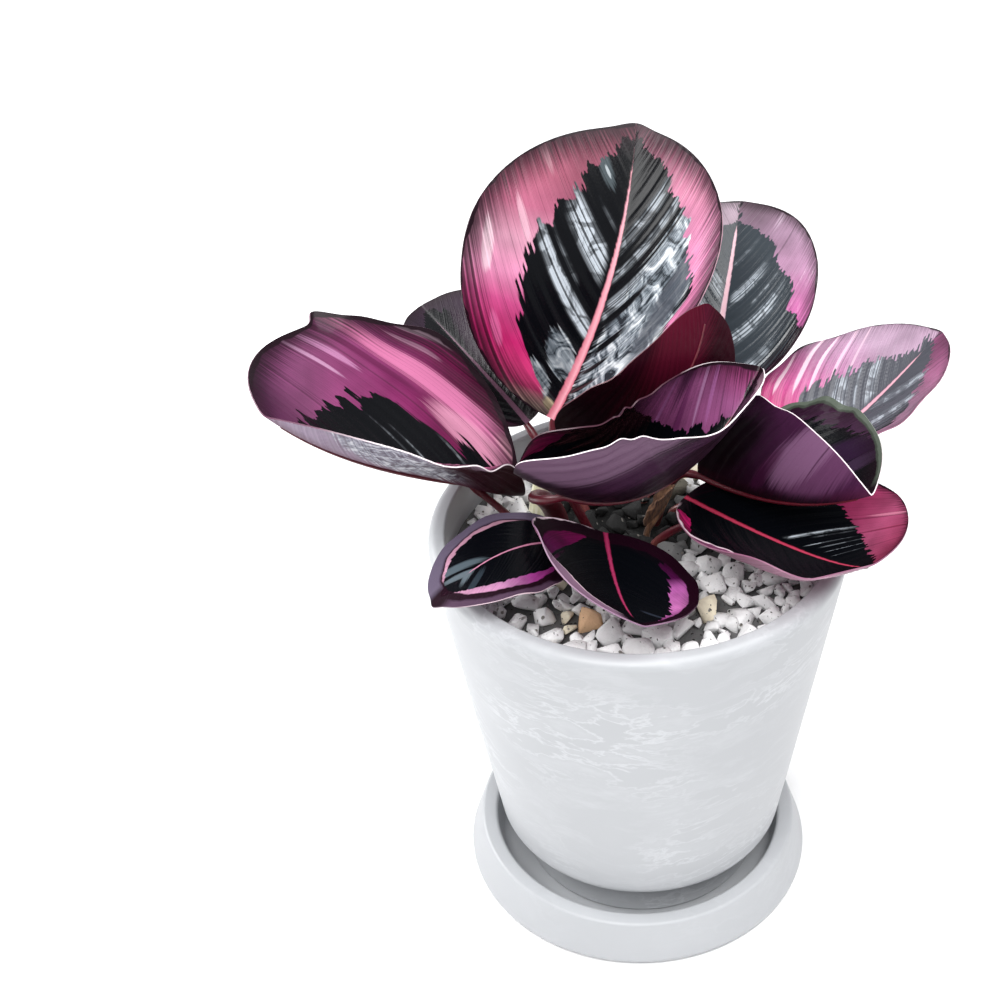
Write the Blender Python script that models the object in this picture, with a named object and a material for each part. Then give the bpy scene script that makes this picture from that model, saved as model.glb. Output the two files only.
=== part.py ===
"""Potted calathea: a rose-painted prayer plant in a tapered plastic pot, standing in its saucer.

World units are metres and +Z is up. The origin lies on the pot's axis, in the plane that the
saucer stands on. The plant's front, where its largest leaf faces, is -Y. Every leaf is one solid:
a thin waved blade, the rib under its middle and the stem that stands in a hole in the soil.
"""
import math
import random
from dataclasses import dataclass

import bmesh
import bpy
from mathutils import Euler, Vector

MM = 0.001
GAP = 0.3 * MM
TURN_STEPS = 44

# Pot: a straight cone with a thick wall, a flat rim and a foot set in under its lower edge
RIM_RADIUS = 75 * MM
RIM_TOP = 157.5 * MM
RIM_ROUND = 3.5 * MM
RIM_INNER = 68.6 * MM
WALL = 5 * MM
SKIRT_RADIUS = 55.4 * MM
SKIRT_Z = 28 * MM
SKIRT_ROUND = 8 * MM
CONE_SLOPE = (RIM_RADIUS - SKIRT_RADIUS) / (RIM_TOP - RIM_ROUND - SKIRT_Z)
FOOT_RADIUS = 46 * MM
FOOT_WIDTH = 4.5 * MM
FOOT_Z = 3.3 * MM
POT_FLOOR_LOW = 22 * MM
POT_FLOOR_TOP = 26 * MM
DRAIN_RADIUS = 9 * MM
EDGE_BREAK = 0.8 * MM

# Saucer: a thick lip, and a side that widens downwards; the pot stands a little behind its centre
SAUCER_OFFSET = Vector((-1.5 * MM, -3 * MM, 0))
SAUCER_FLOOR = 3 * MM
SAUCER_HOLLOW = ((5.5, 0), (3, 1.5), (1.5, 5))    # inwards from the lip, and above the floor
LIP_TOP = 17.5 * MM
LIP_INNER = 55.5 * MM
LIP_OUTER = 62.2 * MM
LIP_ROUND = 1.6 * MM
SIDE_RADIUS = 66.5 * MM
SIDE_ROUND = 2.5 * MM

# Soil, and the bed of stones on it
SOIL_TOP = 136 * MM
BED_TOP = 144 * MM
BED_RING = 66 * MM
STONE_COUNT = 80
STONE_RADIUS = (5.4 * MM, 7.4 * MM)
STONE_NARROWING = (0.75, 1)
STONE_FLATNESS = 0.76
STONE_TILT = 0.4
STONE_POINTS = 11
STONE_RISE = (-1.2 * MM, 0.8 * MM)
STONE_SPACING = 9 * MM
STONE_TRIES = 20000
STEM_SPACING = 4.2 * MM
STEM_CLEARANCE = 0.4 * MM
STEM_FOOT_Z = 129 * MM
COLLAR_TOP = 156 * MM
SEED = 11

# Leaves
BLADE = 0.7 * MM
NECK_RADIUS = 1.2 * MM
RIB_TIP_RADIUS = 0.5 * MM
RIB_END = 0.72
STEM_STEPS = 9
RIB_STEPS = 4
WAVE_LAG = 1.9
LIP_START = 0.7

# Young shoot
SHOOT_ROOT = (-36, 29)
SHOOT_TIP = (-33, 28, 171)
SHOOT_RADIUS = 3.8 * MM
SHOOT_STEPS = 8
SHOOT_BOW = Vector((1, 1, 0)) * MM


@dataclass
class Leaf:
    """One leaf's design dimensions, in millimetres and degrees.

    Left and right are the leaf's own, seen from above with its tip pointing away.
    """

    root: tuple            # where the stem stands in the soil, x and y
    base: tuple            # the blade's rounded end, at the stem
    bearing: float         # plan direction from base to tip, counter-clockwise from +X
    rise: float            # how steeply the line from base to tip climbs
    length: float
    width: float
    roll: float = 0        # turn of the blade about the line from base to tip
    twist: float = 0       # further turn from base to tip
    sag: float = 0         # the midrib's bow at half length, towards the upper face
    sway: float = 0        # the same bow, towards the right
    along: float = 0       # and the same, towards the tip
    skew: float = 0        # how much wider the right half is than the left
    taper: float = 0       # how much wider the base is than the tip
    fold: tuple = (0, 0)   # how far the left and right halves are folded up at the midrib
    curl: tuple = (0, 0)   # how far they curl up further by the edge
    opening: float = 0     # how much of the fold is gone at the tip
    wave: tuple = (1, 3, 0)    # the edge's waves: height, number and phase
    attach: float = 0.04   # where the stem meets the blade, as a share of its length
    climb: float = 0.42    # how far the stem rises before it bends away
    lead: float = 0.3      # how long the stem runs into the blade's own direction
    hinge: float = 0.1     # 0: stem and rib are in line; 1: the stem meets the blade squarely
    stem: float = 1.8      # the stem's radius in the soil
    lip: tuple = (0, 0)    # how far the left and right edges turn up beyond the curl
    cells: int = 8         # cells across the blade


LEAVES = {
    "leaf_tall_front": Leaf(
        root=(-13, 25), base=(-27, 43, 175), bearing=56, rise=53, length=110, width=101,
        roll=26, twist=14, sag=5, sway=6, along=-1, skew=-0.16, fold=(18, 33), curl=(10, 20),
        opening=0.8, wave=(1, 3, 30), attach=0.03, cells=12),
    "leaf_left": Leaf(
        root=(-34, 15), base=(-41, 24, 161), bearing=-153, rise=35, length=111, width=112,
        roll=5, twist=14, sag=-10, sway=11, along=-2, taper=0.03, fold=(27, 40), curl=(-5, 32),
        opening=0.45, wave=(1.2, 3, 120), attach=0.16, hinge=0.4, cells=10),
    "leaf_centre_boat": Leaf(
        root=(-26, 22), base=(-48, -20, 203), bearing=11, rise=11, length=92, width=93,
        roll=14, twist=2, sag=-17, sway=20, along=-4, skew=-0.04, taper=0.05, fold=(49, 61),
        curl=(76, 35), opening=0.15, wave=(0.8, 6, 0), attach=0.22, climb=0.66, lead=0.35,
        hinge=0.5, stem=4.2, cells=12),
    "leaf_dark_upright": Leaf(
        root=(-12, 14), base=(-25, 5, 193), bearing=-2, rise=46, length=70, width=56,
        roll=-71, twist=12, sag=-15, sway=-5, along=3, skew=-0.05, taper=0.3, fold=(7, -5),
        curl=(11, 9), wave=(0.6, 3, 60), attach=0.06, hinge=0.2),
    "leaf_back_right": Leaf(
        root=(1, 30), base=(33, 58, 174), bearing=71, rise=42, length=74, width=67,
        roll=1, twist=2, sag=4, sway=1, along=2, skew=0.05, fold=(9, 9), curl=(10, 12),
        opening=0.15, wave=(1.2, 3, 200), attach=0.03),
    "leaf_far_right": Leaf(
        root=(9, 27), base=(58, 23, 160), bearing=31, rise=24, length=77, width=66,
        roll=-1, twist=4, sag=-3, sway=1, along=-4, skew=-0.1, taper=0.32, fold=(18, 22),
        curl=(2, 17), opening=0.35, wave=(1.2, 3, 80), attach=0.03),
    "leaf_right_cupped": Leaf(
        root=(6, 21), base=(23, 10, 171), bearing=-50, rise=21, length=79, width=81,
        roll=-15, twist=-4, sag=-7, sway=-3, along=-2, skew=-0.02, taper=0.07, fold=(41, 68),
        curl=(18, 14), wave=(0.9, 4, 20), attach=0.02, climb=0.7, hinge=0.1, cells=10),
    "leaf_low_right": Leaf(
        root=(2, 9), base=(17, 1, 167), bearing=-42, rise=4, length=75, width=76,
        roll=-8, twist=-3, sag=-6, sway=-2, along=13, skew=-0.12, taper=0.12, fold=(12, 3),
        curl=(8, 24), wave=(0.4, 2, 150), attach=0.12, hinge=0.4, lip=(0, 5), cells=10),
    "leaf_low_left": Leaf(
        root=(-16, 2), base=(-25, -21, 167), bearing=-150, rise=0, length=54, width=40,
        roll=-2, twist=10, sag=5, sway=4, along=-2, skew=-0.08, taper=0.25, fold=(-1, 3),
        curl=(-4, -2), opening=0.15, wave=(0.6, 3, 0), attach=0.06, hinge=0.2),
    "leaf_low_front": Leaf(
        root=(-9, 8), base=(-12, -10, 162), bearing=-83, rise=8, length=61, width=65,
        roll=-16, twist=2, sag=-5, sway=1, along=4, skew=0.17, taper=0.29, fold=(8, 17),
        curl=(6, 18), wave=(0.6, 3, 240), attach=0.06, hinge=0.2, lip=(0, 4), cells=10),
    "leaf_back_left": Leaf(
        root=(-22, 30), base=(-36, 49, 170), bearing=131, rise=26, length=63, width=56,
        roll=-7, twist=-1, sag=1, taper=0.09, fold=(18, 21), curl=(20, 21), opening=0.1,
        wave=(1, 3, 10), attach=0.03),
    "leaf_back": Leaf(
        root=(-8, 38), base=(-2, 61, 170), bearing=91, rise=26, length=74, width=54,
        roll=4, sag=5, taper=0.05, fold=(14, 14), curl=(12, 12), opening=0.2,
        wave=(1.2, 3, 40), attach=0.03),
    "dry_sheath": Leaf(
        root=(4, 14), base=(4, 12, 147), bearing=5, rise=58, length=19, width=10,
        roll=-20, twist=25, sag=-1, fold=(38, 42), curl=(20, 10), wave=(0.5, 3, 90),
        attach=0.1, cells=4),
}


# Scene and materials

def clear_scene():
    """Remove every object, so that the script can be run again in an open file."""
    for item in list(bpy.data.objects):
        bpy.data.objects.remove(item, do_unlink=True)


def make_material(name, colour, roughness, metallic=0.0):
    """A Principled material of one colour."""
    material = bpy.data.materials.new(name)
    material.use_nodes = True
    shader = material.node_tree.nodes["Principled BSDF"]
    shader.inputs["Base Color"].default_value = (*colour, 1.0)
    shader.inputs["Roughness"].default_value = roughness
    shader.inputs["Metallic"].default_value = metallic
    material.diffuse_color = (*colour, 1.0)
    return material


def add_object(name, data, material=None, location=(0, 0, 0), parent=None):
    """Link an object with this data, and give it its material."""
    item = bpy.data.objects.new(name, data)
    item.location = location
    item.parent = parent
    bpy.context.scene.collection.objects.link(item)
    if material:
        data.materials.append(material)
    return item


def mesh_from(bm, name, smooth_angle=40):
    """Turn a bmesh into a mesh with its faces pointing out, and free it."""
    bmesh.ops.recalc_face_normals(bm, faces=bm.faces)
    mesh = bpy.data.meshes.new(name)
    bm.to_mesh(mesh)
    bm.free()
    mesh.shade_smooth()
    mesh.set_sharp_from_angle(angle=math.radians(smooth_angle))
    return mesh


def apply_modifiers(item):
    """Replace an object's mesh by what its modifiers make of it."""
    bpy.context.view_layer.update()
    evaluated = item.evaluated_get(bpy.context.evaluated_depsgraph_get())
    mesh = bpy.data.meshes.new_from_object(evaluated)
    item.modifiers.clear()
    item.data = mesh


def boolean(item, operation, others):
    """Join the other objects to this one, or cut them out of it, and remove them."""
    group = bpy.data.collections.new(item.name + "_operands")
    bpy.context.scene.collection.children.link(group)
    for other in others:
        group.objects.link(other)
    modifier = item.modifiers.new(operation.title(), "BOOLEAN")
    modifier.operand_type = "COLLECTION"
    modifier.collection = group
    modifier.operation = operation
    modifier.solver = "EXACT"
    apply_modifiers(item)
    for other in list(others):
        bpy.data.objects.remove(other, do_unlink=True)
    bpy.data.collections.remove(group)


def turned(name, profile, material, location=(0, 0, 0), steps=TURN_STEPS):
    """A turned body: an outline of (radius, height) points spun about the Z axis.

    An outline that starts on the axis also ends there; any other is closed.
    """
    bm = bmesh.new()
    corners = [bm.verts.new((radius, 0, height)) for radius, height in profile]
    edges = [bm.edges.new(pair) for pair in zip(corners, corners[1:])]
    if profile[0][0] > 0:
        edges.append(bm.edges.new((corners[-1], corners[0])))
    bmesh.ops.spin(bm, geom=corners + edges, cent=(0, 0, 0), axis=(0, 0, 1),
                   angle=math.tau, steps=steps, use_merge=True)
    bmesh.ops.remove_doubles(bm, verts=bm.verts, dist=0.01 * MM)
    bmesh.ops.dissolve_degenerate(bm, edges=bm.edges, dist=0.01 * MM)
    return add_object(name, mesh_from(bm, name), material, location)


def arc(centre, radius, start, end, steps):
    """Points of an arc in the (radius, height) plane, angles in degrees."""
    points = []
    for i in range(steps + 1):
        angle = math.radians(start + (end - start) * i / steps)
        points.append((centre[0] + radius * math.cos(angle),
                       centre[1] + radius * math.sin(angle)))
    return points


# Pot, saucer, soil and stones

def cone_radius(height):
    """Radius of the pot's outer cone at a height."""
    return SKIRT_RADIUS + CONE_SLOPE * (height - SKIRT_Z)


def inner_radius(height):
    """Radius of the pot's inside: upright under the rim, parallel to the outer cone below."""
    return min(RIM_INNER, cone_radius(height) - WALL)


def make_pot(material):
    """The pot: rim and lower edge rounded over, recessed foot, raised floor with a drain."""
    foot_inner = FOOT_RADIUS - FOOT_WIDTH
    step_z = SKIRT_Z + (RIM_INNER + WALL - SKIRT_RADIUS) / CONE_SLOPE
    lean = math.degrees(math.atan(CONE_SLOPE))
    skirt_centre = (SKIRT_RADIUS - SKIRT_ROUND * math.cos(math.radians(lean)), SKIRT_Z)
    profile = [(RIM_INNER + EDGE_BREAK, RIM_TOP)]
    profile += arc((RIM_RADIUS - RIM_ROUND, RIM_TOP - RIM_ROUND), RIM_ROUND, 90, 0, 4)
    profile += arc(skirt_centre, SKIRT_ROUND, -lean, -90, 4)
    profile += [
        (FOOT_RADIUS, SKIRT_Z - SKIRT_ROUND),
        (FOOT_RADIUS, FOOT_Z + EDGE_BREAK),
        (FOOT_RADIUS - EDGE_BREAK, FOOT_Z),
        (foot_inner, FOOT_Z),
        (foot_inner, POT_FLOOR_LOW),
        (DRAIN_RADIUS, POT_FLOOR_LOW),
        (DRAIN_RADIUS, POT_FLOOR_TOP),
        (inner_radius(POT_FLOOR_TOP), POT_FLOOR_TOP),
        (RIM_INNER, step_z),
        (RIM_INNER, RIM_TOP - EDGE_BREAK),
    ]
    return turned("pot", profile, material)


def make_saucer(material):
    """The saucer: flat underside, side that widens downwards, wide lip with rounded edges."""
    profile = [(0, SAUCER_FLOOR)]
    for inwards, above in SAUCER_HOLLOW:
        profile.append((LIP_INNER - inwards * MM, SAUCER_FLOOR + above * MM))
    profile += arc((LIP_INNER + LIP_ROUND, LIP_TOP - LIP_ROUND), LIP_ROUND, 180, 90, 3)
    profile += arc((LIP_OUTER - LIP_ROUND, LIP_TOP - LIP_ROUND), LIP_ROUND, 90, 15, 3)
    profile += arc((SIDE_RADIUS - SIDE_ROUND, SIDE_ROUND), SIDE_ROUND, 15, -90, 4)
    profile += [(0, 0)]
    return turned("saucer", profile, material, SAUCER_OFFSET)


def make_soil(material, stems):
    """The soil's plug: fills the pot up to the stones, with a plain hole for every stem."""
    low = POT_FLOOR_TOP + GAP
    profile = [
        (0, SOIL_TOP),
        (inner_radius(SOIL_TOP) - GAP, SOIL_TOP),
        (inner_radius(low) - GAP, low),
        (0, low),
    ]
    soil = turned("potting_soil", profile, material)
    boolean(soil, "DIFFERENCE", [stem_hole(path) for path in stems])
    return soil


def stone(name, rng, centre):
    """One angular stone: the hull of points drawn on a flattened ball."""
    size = rng.uniform(*STONE_RADIUS)
    radii = Vector((size, size * rng.uniform(*STONE_NARROWING), size * STONE_FLATNESS))
    bm = bmesh.new()
    for _ in range(STONE_POINTS):
        direction = Vector((rng.gauss(0, 1), rng.gauss(0, 1), rng.gauss(0, 1))).normalized()
        bm.verts.new(direction * radii)
    hull = bmesh.ops.convex_hull(bm, input=bm.verts)
    inside = [e for e in hull["geom_interior"] if isinstance(e, bmesh.types.BMVert)]
    bmesh.ops.delete(bm, geom=inside, context="VERTS")
    tilt = (rng.uniform(-STONE_TILT, STONE_TILT), rng.uniform(-STONE_TILT, STONE_TILT))
    turn = Euler((*tilt, rng.uniform(0, math.tau)))
    bmesh.ops.rotate(bm, verts=bm.verts, cent=(0, 0, 0), matrix=turn.to_matrix())
    return add_object(name, mesh_from(bm, name, 20), location=centre)


def stone_places(rng, stems):
    """Places on the bed, spread at random, clear of the stems and of each other."""
    feet = [(crossing(path, BED_TOP), path[0][1] + STEM_SPACING) for path in stems]
    places = []
    for _ in range(STONE_TRIES):
        radius = (BED_RING - STONE_RADIUS[1]) * math.sqrt(rng.random())
        angle = rng.uniform(0, math.tau)
        place = Vector((radius * math.cos(angle), radius * math.sin(angle)))
        clear = all((place - foot).length > spacing for foot, spacing in feet)
        if clear and all((place - other).length > STONE_SPACING for other in places):
            places.append(place)
        if len(places) == STONE_COUNT:
            break
    return places


def crossing(path, height):
    """Where a stem's middle line passes a height, in plan."""
    for (low, _), (high, _) in zip(path, path[1:]):
        if low.z <= height <= high.z:
            return low.lerp(high, (height - low.z) / (high.z - low.z)).xy
    return path[0][0].xy


def make_stones(material, stems):
    """The top dressing: one bed of stones, joined to a thin layer on the soil."""
    rng = random.Random(SEED)
    low = SOIL_TOP + GAP
    profile = [
        (0, BED_TOP),
        (inner_radius(BED_TOP) - GAP, BED_TOP),
        (inner_radius(low) - GAP, low),
        (0, low),
    ]
    bed = turned("pumice_top_dressing", profile, material)
    stones = []
    for i, place in enumerate(stone_places(rng, stems)):
        height = BED_TOP + rng.uniform(*STONE_RISE)
        stones.append(stone(f"stone_{i}", rng, (place.x, place.y, height)))
    boolean(bed, "UNION", stones)
    boolean(bed, "DIFFERENCE", [stem_hole(path) for path in stems])
    return bed


# Leaves and stems

def leaf_points(leaf):
    """Base, bow point and tip of the midrib, and the direction that the upper side faces."""
    bearing, rise = math.radians(leaf.bearing), math.radians(leaf.rise)
    along = Vector((math.cos(bearing) * math.cos(rise), math.sin(bearing) * math.cos(rise),
                    math.sin(rise)))
    up = Vector((0, 0, 1))
    level = (up - up.dot(along) * along).normalized()
    roll = math.radians(leaf.roll)
    face = math.cos(roll) * level + math.sin(roll) * along.cross(level)
    base = Vector(leaf.base) * MM
    tip = base + along * leaf.length * MM
    bow = face * leaf.sag + along.cross(face) * leaf.sway + along * leaf.along
    return base, (base + tip) / 2 + 2 * bow * MM, tip, face


def midrib(leaf, s):
    """The midrib at s, 0 at the base and 1 at the tip: point, direction, upper side, right."""
    base, bow, tip, face = leaf_points(leaf)
    point = (1 - s) ** 2 * base + 2 * s * (1 - s) * bow + s ** 2 * tip
    along = (2 * (1 - s) * (bow - base) + 2 * s * (tip - bow)).normalized()
    upper = (face - along.dot(face) * along).normalized()
    right = along.cross(upper)
    twist = math.radians(leaf.twist) * (s - 0.5)
    turned_upper = math.cos(twist) * upper + math.sin(twist) * right
    turned_right = math.cos(twist) * right - math.sin(twist) * upper
    return point, along, turned_upper, turned_right


def blade_point(leaf, x, y):
    """A point of the blade's upper side; x runs across and y along a disc of radius one."""
    s = (y + 1) / 2
    point, _, upper, right = midrib(leaf, s)
    side = 1 if x >= 0 else -1
    half = leaf.width / 2 * MM
    out = abs(x) * half * (1 + leaf.taper * (0.5 - s)) * (1 + leaf.skew * side)
    fold = math.radians(leaf.fold[side > 0]) * (1 + leaf.opening * (1 - 2 * s))
    bend = math.radians(leaf.curl[side > 0]) / half
    if abs(bend * half) < 0.001:
        bend = 0.001 / half
    across = (math.sin(fold + bend * out) - math.sin(fold)) / bend
    lift = (math.cos(fold) - math.cos(fold + bend * out)) / bend
    height, number, phase = leaf.wave
    turns = number * s + phase / 360
    lag = 0 if side > 0 else WAVE_LAG
    lift += height * MM * math.sin(math.tau * turns + lag) * x ** 4
    turned_up = max(0, (abs(x) - LIP_START) / (1 - LIP_START))
    lift += leaf.lip[side > 0] * MM * turned_up ** 2
    return point + right * across * side + upper * lift


def stem_path(leaf):
    """The stem's middle line, from its hole in the soil to the underside of the blade."""
    point, along, upper, _ = midrib(leaf, leaf.attach)
    root = Vector((leaf.root[0] * MM, leaf.root[1] * MM, STEM_FOOT_Z))
    end = point - upper * (BLADE + 0.5 * NECK_RADIUS)
    reach = (end - root).length
    outward = Vector((end.x - root.x, end.y - root.y, 0)).normalized()
    lean = (outward * 0.25 + Vector((0, 0, 1))).normalized()
    landing = (along * (1 - leaf.hinge) + upper * leaf.hinge).normalized()
    first = root + lean * reach * leaf.climb
    second = end - landing * reach * leaf.lead
    path = []
    for i in range(STEM_STEPS + 1):
        s = i / STEM_STEPS
        point = ((1 - s) ** 3 * root + 3 * s * (1 - s) ** 2 * first
                 + 3 * s ** 2 * (1 - s) * second + s ** 3 * end)
        stays = (1 - s) ** 2 * (1 + 2 * s)
        path.append((point, NECK_RADIUS + (leaf.stem * MM - NECK_RADIUS) * stays))
    return path


def rib_path(leaf):
    """The rib's middle line under the blade, from the stem's end towards the tip."""
    path = []
    for i in range(1, RIB_STEPS + 1):
        share = i / RIB_STEPS
        s = leaf.attach + (RIB_END - leaf.attach) * share
        point, _, upper, _ = midrib(leaf, s)
        radius = NECK_RADIUS + (RIB_TIP_RADIUS - NECK_RADIUS) * share
        path.append((point - upper * (BLADE + 0.5 * radius), radius))
    return path


def tube(name, path):
    """A closed tube along a path of (point, radius), made from a bevelled curve."""
    curve = bpy.data.curves.new(name, "CURVE")
    curve.dimensions = "3D"
    curve.bevel_depth = 1
    curve.bevel_resolution = 2
    curve.use_fill_caps = True
    spline = curve.splines.new("POLY")
    spline.points.add(len(path) - 1)
    for knot, (point, radius) in zip(spline.points, path):
        knot.co = (*point, 1)
        knot.radius = radius
    item = add_object(name + "_curve", curve)
    bpy.context.view_layer.update()
    evaluated = item.evaluated_get(bpy.context.evaluated_depsgraph_get())
    bm = bmesh.new()
    bm.from_mesh(evaluated.to_mesh())
    evaluated.to_mesh_clear()
    bpy.data.objects.remove(item, do_unlink=True)
    bmesh.ops.remove_doubles(bm, verts=bm.verts, dist=0.001 * MM)
    return add_object(name, mesh_from(bm, name))


def stem_hole(path):
    """The hole that a stem stands in: the stem's own tube, a little wider and deeper."""
    low = []
    for point, radius in path:
        low.append((point, radius + STEM_CLEARANCE))
        if point.z > COLLAR_TOP:
            break
    direction = (low[1][0] - low[0][0]).normalized()
    low[0] = (low[0][0] - direction * STEM_CLEARANCE, low[0][1])
    hole = tube("hole", low)
    hole.hide_render = True
    hole.display_type = "WIRE"
    return hole


def make_leaf(name, leaf, material, parent):
    """One leaf: a waved blade of even thickness, joined to its rib and stem."""
    bm = bmesh.new()
    bmesh.ops.create_grid(bm, x_segments=leaf.cells, y_segments=leaf.cells, size=1)
    for vert in bm.verts:
        u, v = vert.co.x, vert.co.y
        x = u * math.sqrt(1 - v * v / 2)
        y = v * math.sqrt(1 - u * u / 2)
        vert.co = blade_point(leaf, 0 if abs(x) < 1e-6 else x, y)
    bmesh.ops.triangulate(bm, faces=bm.faces)
    mesh = bpy.data.meshes.new(name)
    bm.to_mesh(mesh)
    bm.free()
    item = add_object(name, mesh, material, parent=parent)
    shell = item.modifiers.new("Thickness", "SOLIDIFY")
    shell.thickness = BLADE
    shell.offset = -1
    shell.use_even_offset = True
    path = stem_path(leaf)
    boolean(item, "UNION", [tube(name + "_stem", path + rib_path(leaf))])
    item.data.shade_smooth()
    item.data.set_sharp_from_angle(angle=math.radians(50))
    return item, path


def shoot_path():
    """Middle line and radius of the young shoot, a leaf still rolled up in its sheath."""
    root = Vector((SHOOT_ROOT[0] * MM, SHOOT_ROOT[1] * MM, STEM_FOOT_Z))
    tip = Vector(SHOOT_TIP) * MM
    path = []
    for i in range(SHOOT_STEPS + 1):
        s = i / SHOOT_STEPS
        swell = 0.75 + 0.25 * math.sin(math.pi * min(1, s * 1.6))
        taper = 1 if s < 0.55 else 1 - 0.75 * ((s - 0.55) / 0.45) ** 1.5
        bow = SHOOT_BOW * math.sin(math.pi * s)
        path.append((root.lerp(tip, s) + bow, SHOOT_RADIUS * swell * taper))
    return path


def main():
    """Build the whole plant."""
    clear_scene()
    plant = bpy.data.objects.new("plant", None)
    bpy.context.scene.collection.objects.link(plant)
    pot_grey = make_material("pale grey satin plastic", (0.62, 0.64, 0.66), 0.38)
    saucer_grey = make_material("pale grey saucer plastic", (0.60, 0.62, 0.64), 0.42)
    earth = make_material("dark potting soil", (0.045, 0.03, 0.02), 0.95)
    pumice = make_material("washed pumice", (0.62, 0.60, 0.56), 0.9)
    rose = make_material("rose painted leaf", (0.16, 0.02, 0.07), 0.3)
    pale = make_material("pale young sheath", (0.62, 0.60, 0.38), 0.45)
    brown = make_material("dry brown sheath", (0.20, 0.11, 0.06), 0.7)
    make_saucer(saucer_grey)
    make_pot(pot_grey)
    paths = []
    for name, leaf in LEAVES.items():
        material = brown if name == "dry_sheath" else rose
        _, path = make_leaf(name, leaf, material, plant)
        paths.append(path)
    shoot = tube("young_shoot", shoot_path())
    shoot.data.materials.append(pale)
    shoot.parent = plant
    paths.append(shoot_path())
    make_soil(earth, paths)
    make_stones(pumice, paths)


main()
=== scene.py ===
"""Looks of the potted calathea: painted leaves, washed pumice, marbled plastic pot and saucer.

World units are metres, +Z is up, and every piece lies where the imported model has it.
"""

import math
import random
from dataclasses import dataclass

import bmesh
import bpy
from bpy.props import FloatProperty, FloatVectorProperty, IntProperty, PointerProperty
from mathutils import Euler, Matrix, Vector


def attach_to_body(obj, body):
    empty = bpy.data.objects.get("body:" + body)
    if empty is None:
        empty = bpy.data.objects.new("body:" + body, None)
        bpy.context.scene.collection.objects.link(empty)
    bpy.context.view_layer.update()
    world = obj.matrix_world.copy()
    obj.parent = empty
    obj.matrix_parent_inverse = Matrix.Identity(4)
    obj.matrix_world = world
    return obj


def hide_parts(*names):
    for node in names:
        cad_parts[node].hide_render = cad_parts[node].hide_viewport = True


bl_info = {
    "name": "Potted calathea",
    "version": (1, 0, 0),
    "blender": (4, 5, 0),
    "location": "3D View > Sidebar > Calathea",
    "description": "Leaves, stones, pot, saucer and studio of a potted calathea",
    "category": "Object",
}

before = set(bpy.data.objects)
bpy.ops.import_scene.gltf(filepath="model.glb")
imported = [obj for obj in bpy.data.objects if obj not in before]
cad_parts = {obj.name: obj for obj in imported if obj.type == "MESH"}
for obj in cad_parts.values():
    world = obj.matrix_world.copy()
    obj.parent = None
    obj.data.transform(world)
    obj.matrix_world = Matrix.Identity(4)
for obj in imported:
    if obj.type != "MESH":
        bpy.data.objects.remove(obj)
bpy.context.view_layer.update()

MM = 0.001
BODY = "root"

# Pot and saucer, as in the part's source
RIM_RADIUS = 75 * MM
RIM_TOP = 157.5 * MM
RIM_ROUND = 3.5 * MM
RIM_INNER = 68.6 * MM
WALL = 5 * MM
SKIRT_RADIUS = 55.4 * MM
SKIRT_Z = 28 * MM
SKIRT_ROUND = 8 * MM
CONE_SLOPE = (RIM_RADIUS - SKIRT_RADIUS) / (RIM_TOP - RIM_ROUND - SKIRT_Z)
FOOT_RADIUS = 46 * MM
FOOT_WIDTH = 4.5 * MM
FOOT_Z = 3.3 * MM
POT_FLOOR_LOW = 22 * MM
POT_FLOOR_TOP = 26 * MM
DRAIN_RADIUS = 9 * MM
RIM_INNER_ROUND = 1 * MM
FOOT_CHAMFER = 0.8 * MM
SAUCER_OFFSET = Vector((-1.5 * MM, -3 * MM, 0))
SAUCER_FLOOR = 3 * MM
LIP_TOP = 17.5 * MM
LIP_INNER = 55.5 * MM
LIP_OUTER = 62.2 * MM
LIP_ROUND = 1.6 * MM
SIDE_RADIUS = 66.5 * MM
SIDE_ROUND = 2.5 * MM
FLOOR_MARGIN = 5.5 * MM           # from the saucer's flat floor out to its lip
FLOOR_ROUND = 4 * MM
POT_WISPS, SAUCER_WISPS = 0.7, 0.15    # how strongly the marbling shows

# Large stones, as in the part's source
SOIL_TOP = 136 * MM
BED_TOP = 144 * MM
BED_RING = 66 * MM
STONE_COUNT = 80
STONE_RADIUS = (5.4 * MM, 7.4 * MM)
STONE_NARROWING = (0.75, 1)
STONE_FLATNESS = 0.76
STONE_TILT = 0.4
STONE_POINTS = 11
STONE_WEAR = 0.3                  # width rubbed off the edges, as a share of the radius
STONE_RISE = (-1.2 * MM, 0.8 * MM)
STONE_SPACING = 9 * MM
STONE_TRIES = 20000
STEM_SPACING = 4.2 * MM
SEED = 11
RUST_STONE = (-23 * MM, -31 * MM)
CROWN = Vector((-6, 21)) * MM     # where the stems come up; stones and grit round it get a painted shadow of the leaves
# Inner and outer radius of that painted shadow
CROWN_RADII = (25 * MM, 38 * MM)
CROWN_SHADOW_LEAST = 0.015                      # how light the stones are in the deepest painted shadow

# Small stones between the large ones, and the fine grit under both
SMALL_LEAST = 0.6                 # smallest radius, as a share of the largest
SMALL_SPACING = 4.1 * MM
SMALL_FROM_LARGE = 6 * MM
SMALL_FROM_WALL = 3.2 * MM
SMALL_NEARER = 2 * MM             # how much closer to a stem they lie than the large ones
GRIT_TOP = BED_TOP - 2.4 * MM
GRIT_RINGS = 8
GRIT_STEPS = 64
GRIT_TINT = 0.12
BED_GAP = 0.3 * MM                # between the bed and what is round and under it
BED_TAPER = 1 * MM                # how much narrower the bed is at its foot

# Each grade's lowest and highest place in the bed, darkest and lightest shade, and cream share
LARGE_GRADE = (STONE_RISE, (0.94, 1.1), 0.14)
SMALL_GRADE = ((-1.2 * MM, 0.4 * MM), (0.88, 1.06), 0.12)

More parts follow.
